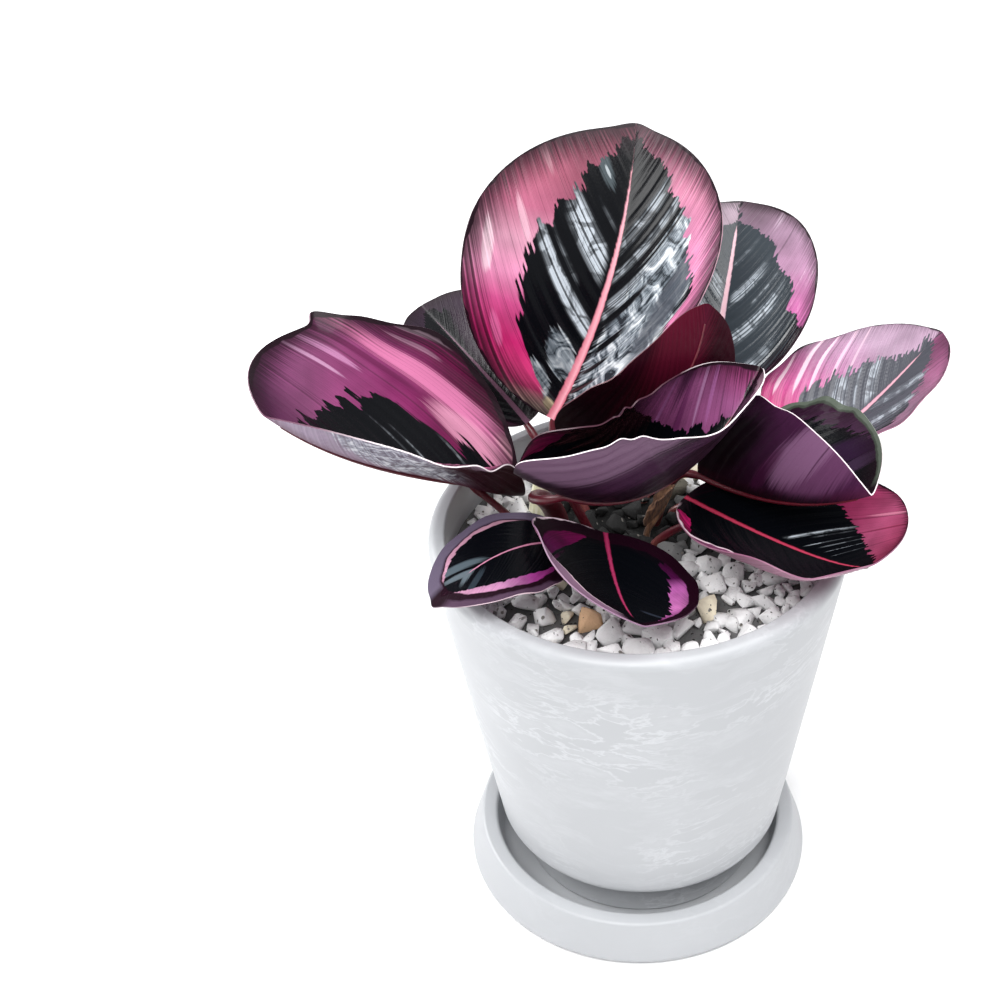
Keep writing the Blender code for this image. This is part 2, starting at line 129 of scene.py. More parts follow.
# Stems and blades, as in the part's source
STEM_FOOT_Z = 129 * MM
BLADE = 0.7 * MM
NECK_RADIUS = 1.2 * MM
RIB_TIP_RADIUS = 0.3 * MM
RIB_END = 0.93
WAVE_LAG = 1.9
LIP_START = 0.7
STEM_LEAN = 0.25                  # outward run of a stem for each unit up, at the soil
SHOOT_ROOT = (-36, 29)
SHOOT_TIP = (-33, 28, 171)
SHOOT_RADIUS = 3.8 * MM
SHOOT_BOW = Vector((1, 1, 0)) * MM
SHOOT_TAPER = 0.55                # where along the shoot its point starts

# Finer forms, on a blade taken as a disc of radius one
FOLD_SOFT = 0.02                  # half width over which the fold at the midrib is rounded
TIP_HALF, BASE_HALF = 0.13, 0.35  # half widths of the drawn-out tip and the drawn-in base
END_POWER = 6                     # how soon these two fade away from the ends
PLEATS, FINE_PLEATS = 8.5, 13.7   # how many there are on half the length
PLEATS_END = 1.02                 # how far out they reach
PLEAT_FADE = (0.12, 0.14)         # widths over which they fade, at the midrib and at the edge
SIDE_SHIFT = 0.037                # sets the right side's pleats off from the left side's
JOINT_AT, JOINT_HALF, JOINT_SWELL = 0.88, 0.08, 0.3    # a stem's swollen joint
RIB_DEPTH = 0.2 * MM              # between the rib's tube and the upper side
STEM_STEPS, SHEATH_STEPS, SHEATH_RIB_STEPS, SHOOT_STEPS = 26, 12, 5, 30    # of finer tubes
TOOTH_STEP, FINE_VEIN = 1.1, 0.8  # mm between the centre's teeth, and between fine veins
CENTRE_SILK = 1.9                 # how much lighter the centre's palest fine veins are

# Camera: where the photograph was taken from; millimetres, degrees and, for its place, metres
LENS = 64.86
SENSOR = 36
PITCH = 37.05                     # how far it looks down
ROLL = -3.744
EYE = Vector((-0.04822, -0.50484, 0.55288))

# Studio, in metres
AIM = Vector((0, 0, 0.17))        # where the lamps point
LAMPS = (                         # setting with the power, place, size
    ("ceiling", (0.7, -0.2, 2.4), (2.0, 2.0)),
    ("window", (-1.0, 0.56, 0.68), (0.7, 0.6)),
    ("front", (-0.4, -1.1, 1.9), (1.4, 1.0)),
)
FLOOR_REACH = 4


# Leaves

@dataclass
class Leaf:
    """One leaf's design dimensions, in millimetres and degrees, as in the part's source.

    Left and right are the leaf's own, seen from above with its tip pointing away. Those from
    cells on are finer than the source has.
    """

    root: tuple                # where the stem stands in the soil, x and y
    base: tuple                # the blade's rounded end, at the stem
    bearing: float             # plan direction from base to tip, counter-clockwise from +X
    rise: float                # how steeply the line from base to tip climbs
    length: float
    width: float
    roll: float                # turn of the blade about the line from base to tip
    sag: float                 # the midrib's bow at half length, towards the upper face
    fold: tuple                # how far the left and right halves are folded up at the midrib
    curl: tuple                # how far they curl up further by the edge
    wave: tuple                # the edge's waves: height, number and phase
    attach: float              # where the stem meets the blade, as a share of its length
    twist: float = 0           # further turn from base to tip
    sway: float = 0            # the midrib's bow towards the right
    along: float = 0           # and towards the tip
    skew: float = 0            # how much wider the right half is than the left
    taper: float = 0           # how much wider the base is than the tip
    opening: float = 0         # how much of the fold is gone at the tip
    climb: float = 0.42        # how far the stem rises before it bends away
    lead: float = 0.3          # how long the stem runs into the blade's own direction
    hinge: float = 0.1         # 0: stem and rib are in line; 1: the stem meets the blade squarely
    stem: float = 1.8          # the stem's radius in the soil
    lip: tuple = (0, 0)        # how far the left and right edges turn up beyond the curl
    cells: int = 64            # cells across the blade
    point: float = 0.02        # how far the tip stands out, as a share of half the length
    blunt: float = 0.0         # how far the base's end is drawn in, the same way
    pleat: float = 0.18        # height of the pleats
    creases: tuple = ()        # each from (x, y) to (x, y), height, half width
    flaps: tuple = ()          # pulled out of shape: x, y, half width, mm along, right and up
    veins: tuple = (0.9, 0.55, 0.2)    # the side veins' rise at mid blade, its growth, and bend


LEAVES = {
    "leaf_tall_front": Leaf(
        root=(-13, 25), base=(-27, 43, 175), bearing=56, rise=53, length=110, width=101,
        roll=26, twist=14, sag=5, sway=6, along=-1, skew=-0.16, fold=(18, 33), curl=(10, 20),
        opening=0.8, wave=(1, 3, 30), attach=0.03, cells=96, pleat=0.26, point=0.035),
    "leaf_left": Leaf(
        root=(-34, 15), base=(-41, 24, 161), bearing=-153, rise=35, length=111, width=112,
        roll=5, twist=14, sag=-10, sway=11, along=-2, taper=0.03, fold=(27, 40), curl=(-5, 32),
        opening=0.45, wave=(1.2, 3, 120), attach=0.16, hinge=0.4, cells=88,
        creases=((0.17, -0.95, 0.95, 0.33, 1.6, 0.1), (0.45, -0.9, 0.99, 0.0, -0.7, 0.08)),
        flaps=((0.93, 0.36, 0.07, 4.2, 4.2, 0), (-0.15, -0.95, 0.35, -1.5, -1, -5)),
        veins=(1.2, 0.4, 0.25)),
    "leaf_centre_boat": Leaf(
        root=(-26, 22), base=(-48, -20, 203), bearing=11, rise=11, length=92, width=93,
        roll=14, twist=2, sag=-17, sway=20, along=-4, skew=-0.04, taper=0.05, fold=(49, 61),
        curl=(76, 35), opening=0.15, wave=(0.8, 6, 0), attach=0.22, climb=0.66, lead=0.35,
        hinge=0.5, stem=4.2, cells=80, blunt=0.1, flaps=((0.85, 0.6, 0.25, 0, 1.5, -3.5),),
        creases=((0.2, 0.24, 0.95, 0.06, -0.5, 0.05),)),
    "leaf_dark_upright": Leaf(
        root=(-12, 14), base=(-25, 5, 193), bearing=-2, rise=46, length=70, width=56,
        roll=-71, twist=12, sag=-15, sway=-5, along=3, skew=-0.05, taper=0.3, fold=(7, -5),
        curl=(11, 9), wave=(0.6, 3, 60), attach=0.06, hinge=0.2),
    "leaf_back_right": Leaf(
        root=(1, 30), base=(33, 58, 174), bearing=71, rise=42, length=74, width=67,
        roll=1, twist=2, sag=4, sway=1, along=2, skew=0.05, fold=(9, 9), curl=(10, 12),
        opening=0.15, wave=(1.2, 3, 200), attach=0.03, pleat=0.25),
    "leaf_far_right": Leaf(
        root=(9, 27), base=(58, 23, 160), bearing=31, rise=24, length=77, width=66,
        roll=-1, twist=4, sag=-3, sway=1, along=-4, skew=-0.1, taper=0.32, fold=(18, 22),
        curl=(2, 17), opening=0.35, wave=(1.2, 3, 80), attach=0.03, pleat=0.25),
    "leaf_right_cupped": Leaf(
        root=(6, 21), base=(23, 10, 171), bearing=-50, rise=21, length=79, width=81,
        roll=-15, twist=-4, sag=-7, sway=-3, along=-2, skew=-0.02, taper=0.07, fold=(41, 68),
        curl=(18, 14), wave=(0.9, 4, 20), attach=0.02, climb=0.7, cells=72),
    "leaf_low_right": Leaf(
        root=(2, 9), base=(17, 1, 167), bearing=-42, rise=4, length=75, width=76,
        roll=-8, twist=-3, sag=-6, sway=-2, along=13, skew=-0.12, taper=0.12, fold=(12, 3),
        curl=(8, 24), wave=(0.4, 2, 150), attach=0.12, hinge=0.4, lip=(0, 5), cells=80,
        pleat=0.07),
    "leaf_low_left": Leaf(
        root=(-16, 2), base=(-25, -21, 167), bearing=-150, rise=0, length=54, width=40,
        roll=-2, twist=10, sag=5, sway=4, along=-2, skew=-0.08, taper=0.25, fold=(-1, 3),
        curl=(-4, -2), opening=0.15, wave=(0.6, 3, 0), attach=0.06, hinge=0.2, cells=56,
        point=0.05, pleat=0.07),
    "leaf_low_front": Leaf(
        root=(-9, 8), base=(-12, -10, 162), bearing=-83, rise=8, length=61, width=65,
        roll=-16, twist=2, sag=-5, sway=1, along=4, skew=0.17, taper=0.29, fold=(8, 17),
        curl=(6, 18), wave=(0.6, 3, 240), attach=0.06, hinge=0.2, lip=(0, 4), cells=80,
        pleat=0.03),
    "leaf_back_left": Leaf(
        root=(-22, 30), base=(-36, 49, 170), bearing=131, rise=26, length=63, width=56,
        roll=-7, twist=-1, sag=1, taper=0.09, fold=(18, 21), curl=(20, 21), opening=0.1,
        wave=(1, 3, 10), attach=0.03, cells=56),
    "leaf_back": Leaf(
        root=(-8, 38), base=(-2, 61, 170), bearing=91, rise=26, length=74, width=54,
        roll=4, sag=5, taper=0.05, fold=(14, 14), curl=(12, 12), opening=0.2,
        wave=(1.2, 3, 40), attach=0.03, cells=56),
    "dry_sheath": Leaf(
        root=(4, 14), base=(4, 12, 147), bearing=5, rise=58, length=19, width=10,
        roll=-20, twist=25, sag=-1, fold=(38, 42), curl=(20, 10), wave=(0.5, 3, 90),
        attach=0.1, cells=28, pleat=0.1, point=0.08),
}

# How far the dark centre usually reaches from the midrib, and the rose outside it, both from
# the base (-1) to the tip (1)
USUAL_REACH = ((-1, 0.1), (-0.8, 0.4), (-0.5, 0.62), (-0.15, 0.68), (0.15, 0.6), (0.45, 0.45),
               (0.7, 0.26), (0.86, 0.1), (0.94, 0))
USUAL_ROSE = ((-0.8, "#B3256B"), (-0.2, "#C0608F"), (0.4, "#B27391"), (0.9, "#8E5A72"))


@dataclass
class Paint:
    """How one blade is coloured.

    Places along the blade run from -1 at the base to 1 at the tip, and reaches across it from
    0 at the midrib to 1 at the edge. A patch has a place across (left is negative), the place
    of the side vein it lies on, its half sizes across and between veins, its strength and its
    colour; it is drawn out along the veins.
    """

    rim: tuple               # cut edge on the left, and on the right and tip
    seed: float              # its own number, which sets its patterns apart
    left: tuple = USUAL_REACH
    right: tuple = USUAL_REACH
    left_rose: tuple = USUAL_ROSE
    right_rose: tuple = USUAL_ROSE
    streaks: tuple = ()      # silver, partly the leaf's own and partly painted sheen: side, place of the vein, half width, from, to, strength
    on_rose: tuple = ()      # patches under the centre: the leaf's own colour, and on some leaves painted highlights
    on_centre: tuple = ()    # patches over the centre and its streaks: the leaf's own colour, painted highlights and painted sheen
    on_under: tuple = ()     # patches on the underside: the leaf's own colour, painted sheen and painted light
    edge: float = 0.02       # width of the dark edge
    shade: float = 0.16      # how far the shade beside it reaches in
    shade_depth: float = 0.7     # how dark it gets at the edge
    tooth: float = 0.06      # length of the centre's fine teeth
    lobe: float = 0.08       # length of its coarse ones
    rib: tuple = (0.05, 0.004, 0.83)    # the painted midrib: half width at base, at tip, end
    rib_colour: str = "#CF6479"
    rib_middle: str = "#EDB9BF"
    under: tuple = ("#3E1A38", "#50294A")    # underside at the base and at the tip
    gloss: float = 1.0       # how strongly the upper side mirrors
    under_gloss: float = 1.0     # how strongly the underside does
    painted_glare: tuple = ()         # painted reflection on crumpled skin: place across, of the vein, half sizes, strength
    under_painted_glare: tuple = ()   # the same on the underside
    hem: tuple = ()          # turned margin: side, where it starts, width, colour, line's colour


PAINTS = {
    "leaf_tall_front": Paint(
        left=((-1, 0), (-0.89, 0.13), (-0.78, 0.27), (-0.66, 0.37), (-0.48, 0.48),
              (-0.35, 0.5), (-0.2, 0.57), (0.1, 0.57), (0.27, 0.5), (0.39, 0.46), (0.5, 0.34),
              (0.64, 0.32), (0.72, 0.25), (0.8, 0.17), (0.9, 0.07), (0.95, 0)),
        right=((-0.9, 0.75), (-0.4, 0.9), (-0.2, 0.81), (0.05, 0.83), (0.2, 0.73), (0.3, 0.68),
               (0.36, 0.58), (0.46, 0.56), (0.58, 0.43), (0.62, 0.35), (0.7, 0.35), (0.8, 0.25),
               (0.88, 0.11), (0.95, 0)),
        left_rose=((-0.97, "#F0D6C4"), (-0.86, "#DC4680"), (-0.6, "#D02A74"), (-0.35, "#D45490"),
                   (-0.15, "#DC8BB0"), (0.1, "#DA9CB4"), (0.35, "#B46480"), (0.6, "#A0566C"),
                   (0.9, "#824858")),
        right_rose=((-0.5, "#E592BA"), (-0.1, "#E27FAE"), (0.3, "#DE8CB4"), (0.6, "#C8809C"),
                    (0.9, "#93566A")),
        streaks=((-1, 0.03, 0.15, 0.06, 0.42, 1.7), (-1, -0.38, 0.08, 0.02, 0.6, 1.6),
                 (-1, -0.24, 0.03, 0.2, 0.5, 0.5), (-1, -0.98, 0.1, 0.02, 0.4, 0.7),
                 (1, 0.22, 0.1, 0.03, 0.42, 0.75), (1, 0.0, 0.06, 0.03, 0.6, 0.7),
                 (1, -0.24, 0.1, 0.04, 0.7, 0.8), (-1, 0.3, 0.03, 0.05, 0.2, 0.4)),
        # The palest patches on the rose (#F2D9E2, #F0CBD8, #D9A9B4, #E9B4C8, #E3B6BC, #F2B8CE) are
        # painted highlights
        on_rose=((-0.84, -0.9, 0.06, 0.1, 0.6, "#F2D9E2"), (-0.64, -0.5, 0.09, 0.05, 0.4, "#F0CBD8"),
                 (-0.6, -0.05, 0.12, 0.05, 0.5, "#D9A9B4"), (0.62, 0.02, 0.12, 0.05, 0.6, "#E9B4C8"),
                 (-0.62, -1.0, 0.09, 0.05, 0.6, "#E070A6"), (0.8, -0.5, 0.05, 0.5, 0.35, "#E59CBE"),
                 (-0.3, 0.75, 0.1, 0.03, 0.6, "#E3B6BC"), (-0.6, 0.3, 0.3, 0.03, 0.6, "#5A2A38"),
                 (-0.4, 0.52, 0.2, 0.02, 0.6, "#5A2A38"), (-0.5, -1.16, 0.14, 0.02, 0.8, "#F2B8CE")),
        # The crumpled silver is a painted reflection of the window
        painted_glare=((0.44, -0.68, 0.42, 0.6, 1.0), (-0.14, -0.66, 0.15, 0.13, 0.75),
              (-0.22, -0.92, 0.13, 0.12, 0.7)),
        # On the centre, the grey and pale patches are painted sheen and a painted highlight; the
        # near-black ones are gaps left in the painted reflection
        on_centre=((0.22, -0.34, 0.2, 0.05, 1.0, "#06070B"), (0.22, -0.54, 0.16, 0.04, 1.0, "#06070B"),
                   (0.2, -0.68, 0.14, 0.035, 1.0, "#06070B"), (0.17, -0.8, 0.16, 0.04, 1.0, "#06070B"),
                   (-0.25, -0.2, 0.3, 0.05, 0.9, "#06070B"),
                   (0.66, -0.7, 0.16, 0.26, 0.9, "#40454E"), (0.3, -0.98, 0.3, 0.1, 0.8, "#3A4048"),
                   (-0.17, 0.5, 0.09, 0.09, 0.3, "#7E8C92"), (-0.15, 0.5, 0.03, 0.02, 0.6, "#C6CED2"),
                   (-0.06, -0.96, 0.08, 0.06, 0.9, "#D9C7A2")),
        rib=(0.052, 0.004, 0.83), rib_colour="#CE7284", rib_middle="#F0BAC4",
        under=("#3A1026", "#5A2840"), rim=("#3E1628", "#C79AAA"), shade=0.2, shade_depth=0.9,
        gloss=0.6, seed=1.0),
    "leaf_left": Paint(
        right=((-0.98, 0.05), (-0.82, 0.16), (-0.66, 0.25), (-0.46, 0.33), (-0.3, 0.39),
               (-0.15, 0.48), (0.0, 0.49), (0.12, 0.42), (0.2, 0.48), (0.3, 0.36), (0.38, 0.35),
               (0.46, 0.22), (0.6, 0.17), (0.68, 0.03), (0.75, 0)),
        left=((-1, 0.3), (0, 0.6), (0.6, 0.3), (0.75, 0)),
        right_rose=((-0.9, "#7C1A4C"), (-0.5, "#781E52"), (-0.1, "#842A62"), (0.2, "#904072"),
                    (0.5, "#8C4C76"), (0.85, "#5C2A50")),
        streaks=((1, -0.5, 0.02, 0.12, 0.34, 0.5), (1, -0.42, 0.02, 0.14, 0.4, 0.4),
                 (1, -0.78, 0.02, 0.12, 0.32, 0.4)),
        # The pale pink band along the crease and the pale marks beside it are painted highlights
        on_rose=((0.58, -1.13, 0.56, 0.13, 1.0, "#C46E98"), (0.28, -0.98, 0.26, 0.14, 0.85, "#CF8CA8"),
                 (0.2, -1.2, 0.16, 0.12, 0.8, "#DDA3B4"),
                 (0.68, -0.6, 0.12, 0.03, 0.7, "#C99ABC"), (0.85, -1.35, 0.1, 0.03, 0.7, "#C79AB4"),
                 (0.75, -0.95, 0.25, 0.04, 0.7, "#5A1540"), (0.95, -1.5, 0.12, 0.05, 0.7, "#D9C3D0"),
                 (0.75, -1.33, 0.3, 0.05, 0.4, "#6A1744"), (0.6, -1.42, 0.3, 0.08, 0.7, "#8E1C5C"),
                 (0.75, -0.78, 0.12, 0.05, 0.7, "#C68AB4")),
        shade=0.2, shade_depth=0.9, edge=0.035, tooth=0.05, lobe=0.14, gloss=0.6,
        # The underside's grey towards the tip is a painted sheen
        under=("#3C0F1E", "#8F8092"), rim=("#EBDDE2", "#5A2444"),
        on_under=((-0.3, -1.2, 0.8, 0.5, 1.0, "#2A0814"),), under_gloss=0.1,
        # The crumpled silver on the underside is a painted reflection
        under_painted_glare=((-0.6, -0.35, 0.6, 0.75, 0.55),), seed=2.0),
    "leaf_centre_boat": Paint(
        left=((-1, 0.1), (-0.85, 0.25), (-0.7, 0.75), (-0.3, 1.1), (0.05, 1.1), (0.2, 0.85),
              (0.35, 0.55), (0.5, 0.25), (0.65, 0.1), (0.75, 0)),
        right=((-1, 0.1), (-0.85, 0.25), (-0.7, 0.75), (-0.3, 1.1), (0.2, 1.1), (0.45, 0.8),
               (0.6, 0.55), (0.8, 0.3), (0.95, 0.1)),
        left_rose=((-0.95, "#7E1046"), (-0.75, "#4E0A30"), (0.2, "#52203F"), (0.5, "#8A4676"),
                   (0.8, "#985484"), (0.95, "#8A3A68")),
        right_rose=((-0.9, "#8E1450"), (0, "#5A1440"), (0.5, "#A0629A"), (0.9, "#C79BB4")),
        on_rose=((-0.7, 0.0, 0.3, 0.14, 0.8, "#2A0C26"), (-0.5, -0.2, 0.3, 0.03, 0.6, "#A868A0"),
                 (-0.3, 0.45, 0.2, 0.03, 0.5, "#A868A0"), (-0.45, 0.3, 0.3, 0.03, 0.6, "#B98AB4"),
                 (-0.3, 0.1, 0.3, 0.05, 0.6, "#4A1040")),
        on_centre=((-0.8, -0.4, 0.3, 0.8, 0.7, "#230614"),),
        # The wide mauve patch #6A4F66 on the underside is painted sheen
        on_under=((0.62, -1.0, 0.6, 0.34, 0.9, "#6A4F66"), (0.6, -0.55, 0.4, 0.2, 0.4, "#4A2846"),
                  (0.35, 0.2, 0.3, 0.12, 0.4, "#381A34"), (0.05, -0.3, 0.25, 1.6, 0.9, "#170512"),
                  (0.5, -0.3, 0.4, 0.03, 0.8, "#170512")),
        under=("#220C1E", "#1A0616"), rim=("#3E1226", "#F2E6EA"),
        hem=((1, 0.25, 0.05, "#A88A98", "#C8A8B4"),), shade=0.1, gloss=0.6,
        seed=3.0),
    "leaf_dark_upright": Paint(
        under=("#14030A", "#2E0614"), shade=0.3,
        # The red patches on the underside are painted light: the lit part of a maroon underside
        on_under=((0.6, 0.35, 0.9, 1.0, 0.55, "#5E1028"), (0.45, -0.5, 0.4, 0.25, 0.4, "#3C0A18")),
        rim=("#5A2A34", "#5A2A34"), under_gloss=0.4, seed=4.0),
    "leaf_back_right": Paint(
        left=((-1, 0.1), (-0.6, 0.45), (-0.1, 0.55), (0.3, 0.4), (0.6, 0.22), (0.7, 0.1),
              (0.76, 0)),
        right=((-0.9, 0.5), (-0.45, 0.95), (-0.3, 0.88), (-0.2, 0.73), (-0.05, 0.75),
               (0.1, 0.68), (0.2, 0.58), (0.32, 0.48), (0.48, 0.47), (0.6, 0.3), (0.68, 0.2),
               (0.76, 0)),
        left_rose=((-0.6, "#C48AA8"), (0, "#CDA9BC"), (0.6, "#A08A98")),
        right_rose=((-0.6, "#B84A92"), (-0.2, "#C768A4"), (0.2, "#B285A4"), (0.6, "#94768C"),
                    (0.95, "#6A5562")),
        streaks=((1, -0.62, 0.1, 0.05, 0.66, 1.0), (1, -0.2, 0.1, 0.06, 0.45, 0.9),
                 (1, -1.0, 0.1, 0.15, 0.65, 0.9), (-1, -0.5, 0.18, 0.08, 0.55, 0.9),
                 (-1, -0.1, 0.14, 0.05, 0.45, 0.8), (1, 0.2, 0.05, 0.04, 0.3, 0.5),
                 (1, -0.42, 0.03, 0.3, 0.6, 0.6)),
        on_rose=((0.6, 0.1, 0.2, 0.1, 0.5, "#BBA6B6"),),
        # The grey wash over the centre is partly the leaf's own silver and partly painted sheen
        on_centre=((0.2, -0.2, 1.0, 1.4, 0.22, "#66727C"),),
        rib=(0.05, 0.015, 0.72), rib_colour="#D8B4C2", shade=0.12, rim=("#8A6874", "#4E3440"),
        seed=5.0),
    "leaf_far_right": Paint(
        left=((-1, 0.1), (-0.6, 0.4), (-0.3, 0.48), (-0.1, 0.55), (0.1, 0.52), (0.35, 0.42),
              (0.55, 0.3), (0.7, 0.12), (0.9, 0.06), (0.95, 0)),
        right=((-1, 0.1), (-0.6, 0.6), (-0.2, 0.8), (0.2, 0.75), (0.4, 0.6), (0.6, 0.4),
               (0.8, 0.22), (0.92, 0)),
        left_rose=((-0.7, "#D63F84"), (-0.3, "#CB5C96"), (0.2, "#B67AA2"), (0.6, "#B596AE")),
        right_rose=((-0.6, "#A86C8C"), (0.2, "#8E6A80"), (0.6, "#9A5F80"), (0.9, "#8A4A70")),
        streaks=((-1, 0.1, 0.1, 0.05, 0.5, 1.0), (-1, -0.3, 0.12, 0.05, 0.55, 1.0),
                 (1, 0.1, 0.14, 0.06, 0.65, 0.9), (1, -0.4, 0.16, 0.06, 0.75, 0.9),
                 (-1, -0.62, 0.06, 0.05, 0.5, 0.8), (-1, -0.1, 0.03, 0.1, 0.5, 0.7)),
        on_rose=((-0.8, -0.85, 0.2, 0.035, 0.9, "#EFCFDD"), (-0.72, -0.68, 0.2, 0.03, 0.9, "#EBC3D6"),
                 (-0.66, -0.45, 0.2, 0.03, 0.8, "#E2BED0"), (-0.85, -1.05, 0.15, 0.03, 0.8, "#F0D3DF"),
                 (-0.55, -0.25, 0.2, 0.03, 0.7, "#D5B4C6")),
        # The grey wash over the centre is partly the leaf's own silver and partly painted sheen
        on_centre=((0.0, -0.2, 1.0, 1.6, 0.32, "#7E808C"),),
        rib=(0.05, 0.012, 0.8), rib_colour="#C78BA2", rim=("#B08A9C", "#8A5A72"), tooth=0.14,
        shade=0.08, shade_depth=0.35, edge=0.008,
        seed=6.0),
    "leaf_right_cupped": Paint(
        left=((-1, 0.6), (0, 0.8), (0.6, 0.7), (1, 0.5)),
        right=((-1, 0.6), (0, 0.9), (0.6, 0.8), (1, 0.5)),
        left_rose=((-0.8, "#2A1228"), (0.2, "#43223F"), (0.9, "#5A3A5A")),
        right_rose=((-0.8, "#2A1228"), (0.9, "#43223F")),
        # The purple patches on the centre are painted sheen
        on_centre=((-0.55, -0.2, 0.2, 0.3, 0.6, "#34183A"), (-0.75, 0.3, 0.3, 0.3, 0.6, "#3C2240"),
                   (-0.4, 0.1, 0.2, 0.15, 0.6, "#46304C")),
        # The light mauve patches #74466C and #8E6488 on the underside are painted sheen
        on_under=((0.45, 0.2, 0.5, 0.6, 0.75, "#74466C"), (0.5, -0.1, 0.4, 0.35, 0.8, "#8E6488"),
                  (0.6, 0.42, 0.3, 0.02, 0.7, "#300C26"), (0.5, 0.1, 0.35, 0.015, 0.6, "#3A1832"),
                  (0.3, -0.38, 0.3, 0.1, 0.6, "#4A163E"), (-0.1, -0.3, 0.25, 1.5, 0.9, "#0E030C"),
                  (0.5, -0.9, 0.4, 0.3, 0.9, "#0E030C")),
        # The grey-green of the left cut edge and the left margin is a painted sheen on the dark edge
        under=("#10040C", "#4A2044"), rim=("#8E9488", "#EBDDE2"), edge=0.01, shade=0.3,
        hem=((-1, -1, 0.05, "#565E54", "#3A4038"),), gloss=0.2,
        seed=7.0),
    "leaf_low_right": Paint(
        left=((-1, 0.5), (-0.3, 0.66), (-0.08, 0.6), (0, 0.55), (0.1, 0.5), (0.3, 0.4),
              (0.5, 0.26), (0.8, 0.14), (0.95, 0.03), (1, 0)),
        right=((-1, 0.25), (-0.85, 0.3), (-0.7, 0.85), (0, 0.98), (0.6, 0.8), (0.9, 0.4),
               (1, 0.1)),
        left_rose=((-0.6, "#6E1A42"), (-0.1, "#9E2C5A"), (0.4, "#A84C70"), (0.9, "#8A3250")),
        right_rose=((-0.8, "#C41E68"), (0.2, "#7A2A50"), (0.8, "#8A3A62")),
        # On this leaf the streaks are painted highlights: white glints
        streaks=((-1, -0.335, 0.035, 0.08, 0.52, 1.0), (-1, -0.27, 0.012, 0.2, 0.5, 0.8),
                 (-1, -0.16, 0.01, 0.08, 0.4, 0.6), (-1, -0.08, 0.012, 0.12, 0.45, 0.7),
                 (-1, 0.02, 0.008, 0.1, 0.4, 0.6), (-1, 0.13, 0.01, 0.08, 0.3, 0.6)),
        on_rose=((-0.75, -0.5, 0.14, 0.04, 0.5, "#D98CA4"), (-0.6, -0.2, 0.2, 0.03, 0.4, "#8E2A48")),
        rib=(0.03, 0.012, 0.75), rib_colour="#B22B4A", rib_middle="#C9506A",
        under=("#7E4A64", "#A27C8E"), edge=0.012, shade=0.08, lobe=0.05, rim=("#6A1A38", "#8E5A74"),
        hem=((1, -0.75, 0.25, "#6E3858", "#E6CBD6"),), gloss=0.1, seed=8.0),
    "leaf_low_left": Paint(
        left=((-1, 0.3), (-0.75, 0.5), (-0.4, 0.6), (0, 0.62), (0.3, 0.56), (0.5, 0.44),
              (0.68, 0.28), (0.82, 0.1), (0.88, 0)),
        right=((-1, 0.3), (-0.7, 0.55), (-0.3, 0.7), (0.1, 0.72), (0.35, 0.64), (0.55, 0.5),
               (0.7, 0.32), (0.84, 0.12), (0.9, 0)),
        left_rose=((-0.7, "#A0307F"), (-0.1, "#9A3A88"), (0.3, "#B077A0"), (0.9, "#C593AC")),
        right_rose=((-0.7, "#A87C8C"), (0.3, "#BE8CA2"), (0.9, "#C593AC")),
        # The grey patches on the centre are painted sheen
        on_centre=((0.3, 0.2, 0.3, 0.16, 0.75, "#56626A"), (0.05, 0.5, 0.2, 0.12, 0.6, "#6E7A82"),
                   (-0.25, 0.25, 0.2, 0.1, 0.4, "#3E4A54")),
        edge=0.2, shade=0.05, tooth=0.02, lobe=0.03, rib=(0.03, 0.014, 0.55),
        rib_colour="#B5688A", rib_middle="#D29BB0", rim=("#D9BFC9", "#8A7480"), gloss=0.4,
        hem=((1, -0.9, 0.17, "#584E60", "#463A4C"), (-1, -0.6, 0.1, "#4A3648", "#3A2838")),
        seed=9.0),
    "leaf_low_front": Paint(
        left=((-1, 0.4), (-0.6, 0.6), (-0.1, 0.66), (0.15, 0.6), (0.45, 0.56), (0.6, 0.5),
              (0.75, 0.36), (0.9, 0.2), (1, 0.1)),
        right=((-1, 0.1), (-0.75, 0.28), (-0.5, 0.42), (-0.25, 0.6), (0, 0.74), (0.3, 0.85),
               (0.6, 0.75), (1, 0.3)),
        left_rose=((-0.7, "#2E0A24"), (-0.3, "#4A1040"), (-0.12, "#A8569A"), (0.4, "#BE6CAA"),
                   (0.9, "#7A2E68")),
        right_rose=((-0.8, "#7A1250"), (-0.3, "#5E0F4A"), (0.3, "#4A1040"), (0.8, "#2F1028")),
        # The slate-blue patch on the centre is a painted highlight
        on_centre=((-0.3, 0.2, 0.16, 0.05, 0.6, "#2E3440"),),
        hem=((1, -0.2, 0.4, "#8A6A82", "#E8D2DC"),),
        edge=0.14, shade=0.1, tooth=0.05, rib=(0.03, 0.012, 0.6), rib_colour="#96224E",
        rib_middle="#B8446C", under=("#6E3C58", "#8A5872"), rim=("#4A2A40", "#8A6A82"),
        gloss=0.03, seed=10.0),
    "leaf_back_left": Paint(
        left_rose=((-0.6, "#4A1838"), (0.6, "#332033")),
        right_rose=((-0.6, "#4A1838"), (0.6, "#332033")), rib_colour="#6E4A5E",
        rib_middle="#7A5A6C", on_centre=((0.3, 0.0, 0.3, 0.5, 0.6, "#3A2438"),),
        under=("#2E1028", "#4A2540"), rim=("#8A7484", "#8A7484"), seed=11.0),
    "leaf_back": Paint(rim=("#B08A9C", "#8A5A72"), seed=12.0),
}


# Settings a user would change

def linear(code):
    """A colour given as sRGB hex, as linear red, green and blue."""
    parts = [int(code[i:i + 2], 16) / 255 for i in (1, 3, 5)]
    return tuple(p / 12.92 if p <= 0.04045 else ((p + 0.055) / 1.055) ** 2.4 for p in parts)


def colour_setting(name, description, code):
    """A colour property whose default is an sRGB hex value."""
    return FloatVectorProperty(name=name, description=description, subtype="COLOR", size=3,
                               min=0, max=1, default=linear(code))


